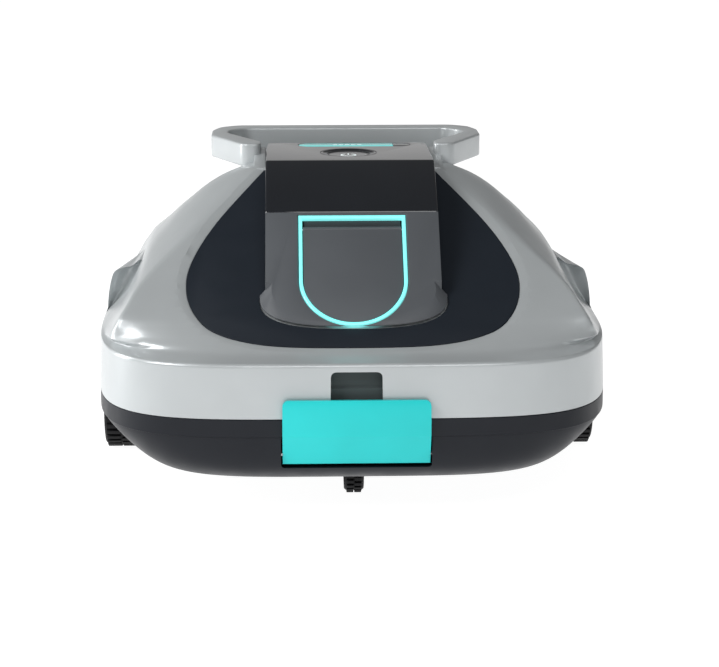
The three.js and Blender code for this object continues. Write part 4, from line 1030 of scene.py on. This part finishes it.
# A wing with a hollow front face, its rim running from the crease up to a point on the side face
def buildScoop(side, name):
    low, high = boxOf(name)
    front = low.y + 0.8
    rear = high.y - 1
    at = np.linspace(0, 1, 41)
    rimIn, rimUp = through(scoopRim, at)
    rimX = halfWidth - rimIn
    rimZ = creaseZ + rimUp
    rings = []
    for t, x, z in zip(at, rimX, rimZ):
        base = sideX(z, front) - 1.5
        x = max(x, base + 2.0)
        span = x - base
        hollow = 9 * math.sin(math.pi * min(0.12 + t * 0.86, 1)) ** 0.8
        face = []
        for v in np.linspace(0, 1, 10):
            dip = hollow * math.sin(math.pi * (1 - v) ** 1.3) + 1.6 * (1 - v)
            face.append((base + span * v, front + dip))
        rim = [(x, front + 0.5), (x - 0.15, front + 1.2)]
        back = []
        for v in np.linspace(0.08, 1, 14):
            y = front + 1.2 + (rear - front - 1.2) * v
            floorX = sideX(z, y) - 1.5
            back.append((floorX + (x - 0.15 - floorX) * (1 - v) ** 0.9, y))
        rings.append([(side * u, w, z) for u, w in face + rim + back])
    return loft(name.replace("_scoop", "Scoop"), rings, silverPaint)


for end, side in (("left", -1), ("right", 1)):
    finishPiece(buildScoop(side, f"{end}_scoop"), "upper", "silver_shell", f"{end}_scoop", angle=40)
print("handle and scoops")


# ---- lower hull ----

hull = {
    "rim": 12,  # upright edge under the seam
    "square": 4.6,
    "sideTaper": 45,
    "sidePower": 1.18,
    "endTaper": 74,
    "endPower": 4.8,
    "step": 0.5,  # inset under the rim
}
rollerRadius = rollerHigh.z / 2
rollerInnerX = rollerLow.x
wheelRadius = wheelHigh.z / 2
wheelY = -(wheelLow.y + wheelHigh.y) / 2
wheelHalf = wheelHigh.x
pinLow, pinHigh = boxOf("front_latch_pin")
latchPin = (-(pinLow.y + pinHigh.y) / 2, (pinLow.z + pinHigh.z) / 2)
latchCreaseZ = seamZ - 10.5
brushLow, brushHigh = boxOf("rear_brush_strip")
intakeHalf = (75.0, 20.0)


def hullRing(inX, inY, z):
    return levelRing(halfWidth - inX, halfLength - inY, hull["square"], hull["square"], z)


def hullRings(inset, lift):
    rise = seamZ - hull["rim"] - undersideZ
    rings = []
    for share in np.concatenate([[0], np.linspace(0.03, 1, 30) ** 1.4]):
        inX = hull["step"] + hull["sideTaper"] * (1 - share) ** hull["sidePower"]
        inY = hull["step"] + hull["endTaper"] * (1 - share) ** hull["endPower"]
        rings.append(hullRing(inX + inset, inY + inset, undersideZ + share * rise + lift))
    for z, grow in ((seamZ - hull["rim"] + 0.4, 0), (seamZ - 0.4, 0), (seamZ, -0.4)):
        rings.append(hullRing(inset - grow, inset - grow, z + lift))
    return rings


def wellTools(extra, material):
    tools = []
    for side in (-1, 1):
        reach = rollerRadius + 3.5 + extra
        inner = rollerInnerX - 3 - extra
        ends = sorted((side * inner, side * (halfWidth + 10)))
        outline = rounded([(-reach, -1), (reach, -1), (reach, 2 * rollerRadius + 3.5 + extra),
                           (-reach, 2 * rollerRadius + 3.5 + extra)], 8, 8)
        tools.append(drawn("rollerWell", outline, ends[0], ends[1], material))
        halfX = wheelHalf + 2 + extra
        middle = side * wheelY
        halfY = wheelRadius + 2.5 + extra
        tools.append(block("wheelWell", -halfX, halfX, middle - halfY, middle + halfY, undersideZ - 1,
                           2 * wheelRadius + 2.5 + extra, material))
        halfX = latchHigh.x + 1 + extra
        radius = 8 + extra
        barrel = arcPoints(side * latchPin[0], latchPin[1], radius, 0, 360, 24)[:-1]
        tools.append(drawn("latchBarrel", barrel, -halfX, halfX, material))
        ends = sorted((side * (latchPin[0] - extra), side * (halfLength + 24)))
        foot = latchPin[1] - radius
        head = latchCreaseZ + extra
        outline = [(-halfX, foot), (halfX, foot), (halfX, head), (-halfX, head)]
        outline = rounded(outline, 2.5, 4)
        tools.append(loft("latchRecess", [[(x, y, z) for x, z in outline] for y in ends], material))
    return tools


def buildHull():
    skin = loft("lowerHull", hullRings(0, 0), hullPlastic)
    inner = loft("hullInner", hullRings(wall + 1.5, wall), hullPlastic)
    walls = wellTools(wall, hullPlastic)
    outer = loft("hullOuter", hullRings(0.02, 0.02), hullPlastic)
    solidWalls = walls[0]
    carve(solidWalls, *walls[1:], operation="UNION")
    carve(solidWalls, outer, operation="INTERSECT")
    for side in (-1, 1):
        reach = sorted((side * (rollerInnerX - 3), side * (rollerInnerX - 15)))
        boss = rod("boss", 10, reach[0], reach[1], hullPlastic, crossPlace(0, rollerRadius), 48, 0.4)
        carve(solidWalls, boss, operation="UNION")
    carve(skin, inner)
    carve(skin, solidWalls, operation="UNION")
    tools = wellTools(0, hullPlastic)
    tools.append(block("intake", -intakeHalf[0], intakeHalf[0], -intakeHalf[1], intakeHalf[1], 0, undersideZ + 6,
                       hullPlastic))
    for side in (-1, 1):
        y = side * (brushLow.y + brushHigh.y) / 2
        tools.append(block("brushSlot", -80.3, 80.3, y - 3, y + 3, 0, undersideZ + 6, hullPlastic))
    return carve(skin, *tools)


finishPiece(buildHull(), "base", "hull_plastic", "lower_hull", angle=28)
print("hull")


# ---- latches ----

def buildLatch():
    face = -latchLow.y
    thick = 3.4
    top = latchHigh.z
    bottom = latchLow.z
    profile = [(bottom, latchPin[0] + 5, latchPin[0] - 2.5), (latchPin[1] + 3, face - 5.6, latchPin[0] - 2.5),
               (latchCreaseZ - 0.4, face - 0.35, face - thick - 0.2),
               (latchCreaseZ + 0.4, face - 0.05, face - thick),
               (top - 4, face - 0.12, face - thick), (top - 1.2, face - 0.3, face - thick)]
    corner = 4.0
    for k in range(1, 5):
        z = top - 4 + corner * math.sin(math.radians(22.5 * k))
        profile.append((z, face - 0.15 - 0.12 * k, face - thick + 0.1 * k))
    profile = sorted(set(profile))
    rings = []
    for z, front, back in profile:
        over = max(z - (top - corner), 0)
        half = latchHigh.x - (corner - math.sqrt(max(corner ** 2 - over ** 2, 0.3)))
        rings.append([(-half, -front, z), (half, -front, z), (half, -back, z), (-half, -back, z)])
    plate = loft("frontLatch", rings, tealPlastic)
    bevel(plate, 0.55, 3, 60)
    hookHalf = 15.5
    behind = thick - face
    hook = block("hook", -hookHalf, hookHalf, behind - 1, behind + 2, top - 4, top - 1, tealPlastic)
    merge(plate, bevel(hook, 0.4, 2, 40))
    return plate


finishPair(buildLatch(), "latch", "teal_plastic", "latch", ownBody=True)


# ---- repeated details made with node trees ----

def nodeTree(name, *inputs):
    tree = bpy.data.node_groups.new(name, "GeometryNodeTree")
    tree.interface.new_socket("Geometry", in_out="INPUT", socket_type="NodeSocketGeometry")
    for label, kind in inputs:
        tree.interface.new_socket(label, in_out="INPUT", socket_type=kind)
    tree.interface.new_socket("Geometry", in_out="OUTPUT", socket_type="NodeSocketGeometry")
    return tree, tree.nodes.new("NodeGroupInput"), tree.nodes.new("NodeGroupOutput")


def endTree(tree, geometry, output, material):
    real = tree.nodes.new("GeometryNodeRealizeInstances")
    paint = tree.nodes.new("GeometryNodeSetMaterial")
    paint.inputs["Material"].default_value = material
    tree.links.new(geometry, real.inputs["Geometry"])
    tree.links.new(real.outputs["Geometry"], paint.inputs["Geometry"])
    tree.links.new(paint.outputs["Geometry"], output.inputs["Geometry"])


def grow(name, tree, values):
    holder = link(bpy.data.objects.new(name, bpy.data.meshes.new(name)))
    modifier = holder.modifiers.new(name, "NODES")
    modifier.node_group = tree
    for item in tree.interface.items_tree:
        if item.in_out == "INPUT" and item.name in values:
            modifier[item.identifier] = values[item.name]
    settle(holder)
    used = [material for material in holder.data.materials if material]
    holder.data.materials.clear()
    holder.data.materials.append(used[-1])
    for face in holder.data.polygons:
        face.material_index = 0
    return holder


# Tread blocks set round a wheel whose axle runs along X
def treadTree(material):
    tree, given, output = nodeTree("tread", ("Count", "NodeSocketInt"), ("Radius", "NodeSocketFloat"),
                                   ("Block", "NodeSocketVector"), ("Start", "NodeSocketFloat"))
    circle = tree.nodes.new("GeometryNodeMeshCircle")
    tree.links.new(given.outputs["Count"], circle.inputs["Vertices"])
    tree.links.new(given.outputs["Radius"], circle.inputs["Radius"])
    cube = tree.nodes.new("GeometryNodeMeshCube")
    tree.links.new(given.outputs["Block"], cube.inputs["Size"])
    place = tree.nodes.new("GeometryNodeInputPosition")
    aim = tree.nodes.new("FunctionNodeAlignEulerToVector")
    aim.axis = "X"
    tree.links.new(place.outputs["Position"], aim.inputs["Vector"])
    scatter = tree.nodes.new("GeometryNodeInstanceOnPoints")
    tree.links.new(circle.outputs["Mesh"], scatter.inputs["Points"])
    tree.links.new(cube.outputs["Mesh"], scatter.inputs["Instance"])
    tree.links.new(aim.outputs["Rotation"], scatter.inputs["Rotation"])
    turn = tree.nodes.new("GeometryNodeTransform")
    turn.inputs["Rotation"].default_value = (0, math.pi / 2, 0)
    real = tree.nodes.new("GeometryNodeRealizeInstances")
    tree.links.new(scatter.outputs["Instances"], real.inputs["Geometry"])
    tree.links.new(real.outputs["Geometry"], turn.inputs["Geometry"])
    spin = tree.nodes.new("GeometryNodeTransform")
    mixSpin = tree.nodes.new("ShaderNodeCombineXYZ")
    tree.links.new(given.outputs["Start"], mixSpin.inputs["X"])
    tree.links.new(mixSpin.outputs["Vector"], spin.inputs["Rotation"])
    tree.links.new(turn.outputs["Geometry"], spin.inputs["Geometry"])
    endTree(tree, spin.outputs["Geometry"], output, material)
    return tree


tread = treadTree(blackRubber)


def treadRow(name, x, y, z, radius, count, width, depth, start):
    ribWidth = 2 * math.pi * radius / count * 0.56
    blocks = grow(name, tread, {"Count": count, "Radius": (radius - depth / 2) * mm,
                                "Block": (depth * mm, ribWidth * mm, width * mm), "Start": start})
    blocks.data.transform(Matrix.Translation((x * mm, y * mm, z * mm)))
    tidyMesh(blocks.data)
    return bevel(blocks, 0.35, 2, 40)


def buildRoller(side, name):
    r = rollerRadius
    width = rollerHigh.x - rollerLow.x
    core = r - 1.6
    profile = [(4.4, 0.2), (core - 1.6, 0.2), (core, 1.6), (core, width - 1.6), (core - 1.6, width),
               (core - 5, width),
               (core - 6, width - 1.2), (9.4, width - 1.2), (7.9, width - 0.6), (7.9, width - 4.3), (4.4, width - 4.3)]
    outwards = Matrix.Translation((side * rollerInnerX, 0, r)) @ Matrix.Rotation(side * math.pi / 2, 4, "Y")
    roller = turned(name.replace("_roller", "Roller"), profile, blackRubber, outwards, 128)
    middle = side * (rollerInnerX + width / 2)
    count = 34
    for i, offset in enumerate((-0.25, 0.25)):
        row = treadRow("treadRow", middle + offset * (width - 2), 0, r, r, count, width / 2 - 2.0, 2.2,
                       i * math.pi / count)
        merge(roller, row)
    return roller


for end, side in (("left", -1), ("right", 1)):
    finishPiece(buildRoller(side, f"{end}_roller"), f"{end}_roller", "black_rubber", f"{end}_roller")


def buildWheel():
    r = wheelRadius
    half = wheelHalf
    core = r - 1.5
    profile = [(2.4, -half), (8, -half), (9, 0.9 - half), (core - 3.4, 0.9 - half), (core - 2.6, 0.2 - half),
               (core - 1.2, 0.2 - half), (core, 1.6 - half)]
    profile += [(radius, -height) for radius, height in reversed(profile)]
    place = crossPlace(-wheelY, r)
    wheel = turned("frontWheel", profile, blackRubber, place, 112)
    for i, offset in enumerate((-0.25, 0.25)):
        place = offset * (2 * half - 3)
        merge(wheel, treadRow("treadRow", place, -wheelY, r, r, 28, half - 2.2, 2.0, i * math.pi / 28))
    return wheel


finishPair(buildWheel(), "wheel", "black_rubber", "wheel", ownBody=True)
print("rollers and wheels")


# Rubber fingers in a row along X
def fingerTree(material):
    tree, given, output = nodeTree("fingers", ("Count", "NodeSocketInt"), ("Start", "NodeSocketVector"),
                                   ("Step", "NodeSocketVector"), ("Finger", "NodeSocketVector"))
    line = tree.nodes.new("GeometryNodeMeshLine")
    tree.links.new(given.outputs["Count"], line.inputs["Count"])
    tree.links.new(given.outputs["Start"], line.inputs["Start Location"])
    tree.links.new(given.outputs["Step"], line.inputs["Offset"])
    cube = tree.nodes.new("GeometryNodeMeshCube")
    tree.links.new(given.outputs["Finger"], cube.inputs["Size"])
    scatter = tree.nodes.new("GeometryNodeInstanceOnPoints")
    tree.links.new(line.outputs["Mesh"], scatter.inputs["Points"])
    tree.links.new(cube.outputs["Mesh"], scatter.inputs["Instance"])
    endTree(tree, scatter.outputs["Instances"], output, material)
    return tree


def buildBrush():
    low, high = boxOf("front_brush_strip")
    y = (low.y + high.y) / 2
    half = high.x - 2
    strip = block("frontBrushStrip", low.x, high.x, low.y, high.y, undersideZ + 3.3, high.z, blackRubber)
    strip = bevel(strip, 0.3, 2)
    root = block("root", -half, half, y - 2.7, y + 2.7, undersideZ - 1, undersideZ + 4, blackRubber)
    merge(strip, bevel(root, 0.3, 2))
    count = 40
    pitch = 2 * half / count
    depth = undersideZ - low.z
    fingers = grow("fingers", fingerTree(blackRubber), {
        "Count": count, "Start": ((pitch / 2 - half) * mm, y * mm, (low.z + depth / 2) * mm),
        "Step": (pitch * mm, 0, 0),
        "Finger": ((pitch - 0.7) * mm, 2.6 * mm, depth * mm)})
    return merge(strip, bevel(fingers, 0.4, 2, 40))


finishPair(buildBrush(), "base", "black_rubber", "brush_strip")


# Woven wires of the filter screen
def weaveTree(material):
    tree, given, output = nodeTree("weave", ("Size X", "NodeSocketFloat"), ("Size Y", "NodeSocketFloat"),
                                   ("Count X", "NodeSocketInt"), ("Count Y", "NodeSocketInt"), ("Wire", "NodeSocketFloat"))
    grid = tree.nodes.new("GeometryNodeMeshGrid")
    sockets = (("Size X", "Size X"), ("Size Y", "Size Y"), ("Count X", "Vertices X"),
               ("Count Y", "Vertices Y"))
    for label, socket in sockets:
        tree.links.new(given.outputs[label], grid.inputs[socket])
    lines = tree.nodes.new("GeometryNodeMeshToCurve")
    tree.links.new(grid.outputs["Mesh"], lines.inputs["Mesh"])
    circle = tree.nodes.new("GeometryNodeCurvePrimitiveCircle")
    circle.inputs["Resolution"].default_value = 5
    tree.links.new(given.outputs["Wire"], circle.inputs["Radius"])
    sweep = tree.nodes.new("GeometryNodeCurveToMesh")
    tree.links.new(lines.outputs["Curve"], sweep.inputs["Curve"])
    tree.links.new(circle.outputs["Curve"], sweep.inputs["Profile Curve"])
    endTree(tree, sweep.outputs["Mesh"], output, material)
    return tree


def buildScreen():
    low, high = boxOf("filter_screen")
    lip = 5
    outer = rounded([(low.x, low.y), (high.x, low.y), (high.x, high.y), (low.x, high.y)], 4)
    rim = prism("filterScreen", outer, low.z, high.z, screenMesh)
    hole = block("screenHole", low.x + lip, high.x - lip, low.y + lip, high.y - lip, low.z - 5, high.z + 5,
                 screenMesh)
    carve(rim, hole)
    bevel(rim, 0.3, 2)
    sizeX = high.x - low.x - 2 * lip + 1
    sizeY = high.y - low.y - 2 * lip + 1
    wires = grow("wires", weaveTree(screenMesh), {"Size X": sizeX * mm, "Size Y": sizeY * mm, "Count X": 61,
                                                  "Count Y": 45, "Wire": 0.32 * mm})
    wires.data.transform(Matrix.Translation((0, 0, (low.z + high.z) / 2 * mm)))
    for x in np.linspace(low.x, high.x, 5)[1:-1]:
        rib = block("rib", x - 1, x + 1, low.y + lip - 1, high.y - lip + 1, low.z, low.z + 0.9, screenMesh)
        merge(rim, rib)
    return merge(rim, wires)


finishPiece(buildScreen(), "filter_tray", "screen_mesh", "filter_screen")


def buildTray():
    low, high = boxOf("filter_frame")
    halfX = high.x - 4
    halfY = high.y
    box = prism("filterFrame", rounded([(-halfX, -halfY), (halfX, -halfY), (halfX, halfY), (-halfX, halfY)], 6),
                low.z, high.z - 0.01, trayPlastic)
    rim = prism("trayRim", rounded([(low.x, -halfY), (high.x, -halfY), (high.x, halfY), (low.x, halfY)], 6),
                high.z - 2, high.z, trayPlastic)
    carve(box, rim, operation="UNION")
    tools = [prism("trayInside", rounded([(-halfX + 2, -halfY + 2), (halfX - 2, -halfY + 2), (halfX - 2, halfY - 2),
                                          (-halfX + 2, halfY - 2)], 5), low.z + 2, high.z + 5, trayPlastic)]
    tools.append(block("trayMouth", -72, 72, -17, 17, 0, high.z, trayPlastic))
    carve(box, *tools)
    return bevel(box, 0.35, 2, 50)


finishPiece(buildTray(), "filter_tray", "tray_plastic", "filter_frame")


# ---- screws, cap and socket ----

def buildScrew(i):
    node = f"throat_screw_{i}"
    low, high = boxOf(node)
    x = (low.x + high.x) / 2
    y = (low.y + high.y) / 2
    head = (high.x - low.x) / 2
    seat = high.z - 1.2
    profile = [(0, low.z), (0.9, low.z), (1.25, low.z + 0.6)]
    for k in range(5):
        z = low.z + 0.9 + k * 0.65
        profile += [(1.28, z), (1.02, z + 0.3)]
    profile += [(1.25, seat - 0.2), (1.25, seat), (head, seat), (head, seat + 0.5), (head - 0.5, high.z - 0.12),
                (head - 1.1, high.z), (0, high.z)]
    screw = turned(f"throatScrew{i}", profile, brightSteel, Matrix.Translation((x, y, 0)), 40)
    cross = [block("slot", x - 1.5, x + 1.5, y - 0.28, y + 0.28, high.z - 0.7, high.z + 2, brightSteel),
             block("slot", x - 0.28, x + 0.28, y - 1.5, y + 1.5, high.z - 0.7, high.z + 2, brightSteel)]
    return finishPiece(carve(screw, *cross), "base", "steel", node)


for i in range(1, 5):
    buildScrew(i)


def buildCap():
    tab = bevel(prism("tab", [(-4, -13), (4, -13), (4, -8), (-4, -8)], 1, 3.4, blackRubber, portFace), 0.5, 3)
    profile = [(0, -1.6), (3.5, -1.6), (3.9, -1.2), (3.9, 1.0), (9.4, 1.0), (10, 1.6), (10, 2.6), (9.2, 3.4), (6.6, 3.4),
               (6.2, 3.05), (0, 3.05)]
    cap = turned("chargeCap", profile, blackRubber, portFace, 80)
    return merge(cap, tab)


finishPiece(buildCap(), "charge_cap", "black_rubber", "charge_cap")


# ---- pieces inside keep their CAD shape, with softened edges ----

def soften(node, material, width=0.4, segments=2):
    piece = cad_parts[node]
    piece.data.materials.clear()
    piece.data.materials.append(material)
    weld = piece.modifiers.new("weld", "WELD")
    weld.merge_threshold = 0.001 * mm
    edge = piece.modifiers.new("edges", "BEVEL")
    edge.width = width * mm
    edge.segments = segments
    edge.limit_method = "ANGLE"
    edge.angle_limit = math.radians(40)


for node in ("intake_throat", "front_duct", "rear_duct", "front_propeller", "rear_propeller", "pod_tub", "pod_lid",
             "charge_socket"):
    soften(node, innerPlastic, 0.3)
for node in ("left_axle", "right_axle", "front_motor", "rear_motor", "front_shaft", "rear_shaft", "front_latch_pin",
             "rear_latch_pin", "front_wheel_axle", "rear_wheel_axle", "front_flap_pin", "rear_flap_pin"):
    soften(node, brightSteel, 0.25)
for node in ("rim_seal", "pod_seal", "front_intake_flap", "rear_intake_flap"):
    soften(node, sealRubber, 0.2)
soften("battery_pack", cellWrap, 2.5, 4)
soften("control_board", boardGreen, 0.2)


def buildSpring():
    low, high = boxOf("button_spring")
    radius = (high.x - low.x) / 2 - 0.5
    wire = 0.45
    turns = 4.5
    rings = []
    steps = 150
    for i in range(steps + 1):
        t = i / steps
        angle = 2 * math.pi * turns * t
        z = low.z + wire + (high.z - low.z - 2 * wire) * t
        centre = Vector((radius * math.cos(angle), buttonY + radius * math.sin(angle), z))
        out = Vector((math.cos(angle), math.sin(angle), 0))
        rings.append([centre + out * wire * math.cos(a) + Vector((0, 0, wire * math.sin(a)))
                      for a in np.linspace(0, 2 * math.pi, 11)[:-1]])
    return loft("buttonSpring", rings, brightSteel)


buttonSpring = finishPiece(buildSpring(), "upper", "steel", "button_spring")
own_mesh(buttonSpring)
print("small pieces")


# ---- camera, light and floor ----

def aimed(obj, target):
    direction = Vector(target) - obj.location
    obj.rotation_euler = direction.to_track_quat("-Z", "Y").to_euler()


camera = link(bpy.data.objects.new("camera", bpy.data.cameras.new("camera")))
camera.location = (-0.0422, -1.5510, 0.4363)
camera.rotation_euler = (math.radians(77.125), 0, math.radians(-1.855))
camera.data.lens = 110.15
camera.data.sensor_width = 36
camera.data.clip_end = 30
bpy.context.scene.camera = camera


def areaLight(name, place, target, power, size, colour=(1, 1, 1)):
    lamp = bpy.data.lights.new(name, "AREA")
    lamp.shape = "RECTANGLE"
    lamp.size, lamp.size_y = size
    lamp.energy = power
    lamp.color = colour
    holder = link(bpy.data.objects.new(name, lamp))
    holder.location = place
    aimed(holder, target)
    return holder


middle = (0, 0, 0.1)
areaLight("keyLight", (-1.5, -1.0, 1.5), middle, 26, (0.7, 1.2))
areaLight("sideLight", (-1.9, 0.5, 0.6), middle, 22, (0.5, 1.4))
areaLight("topLight", (0.2, -1.5, 1.5), middle, 9, (1.2, 0.8))
areaLight("frontLight", (0.3, -2.2, 0.7), middle, 1.5, (1.8, 0.4))

# Pale behind and above the object, dim in front of it
world = bpy.data.worlds.new("world")
world.use_nodes = True
sky = world.node_tree
coords = sky.nodes.new("ShaderNodeTexCoord")
split = sky.nodes.new("ShaderNodeSeparateXYZ")
sky.links.new(coords.outputs["Generated"], split.inputs["Vector"])
behind = sky.nodes.new("ShaderNodeMapRange")
behind.interpolation_type = "SMOOTHSTEP"
behind.inputs["From Min"].default_value = 0.84
behind.inputs["From Max"].default_value = 0.97
behind.inputs["To Min"].default_value = 0.12
behind.inputs["To Max"].default_value = 0.4
sky.links.new(split.outputs["Y"], behind.inputs["Value"])
sky.nodes["Background"].inputs["Color"].default_value = (1, 1, 1, 1)
sky.links.new(behind.outputs["Result"], sky.nodes["Background"].inputs["Strength"])
bpy.context.scene.world = world

floorPaint = surface("floorPaint", {
    "colour": (0.3, 0.3, 0.3), "roughness": 0.8, "specular": 0.05, "grain": 0.02, "drift": 0.0,
    "glow": (1, 1, 1), "glowStrength": 0.97,
})
far = 9000
floorZ = -0.5
corners = [(-far, -far, floorZ), (far, -far, floorZ), (far, far, floorZ), (-far, far, floorZ)]
floor = makePiece("floor", corners, [(0, 1, 2, 3)], floorPaint)

bpy.context.scene.view_settings.view_transform = "Standard"
bpy.context.scene.view_settings.look = "None"
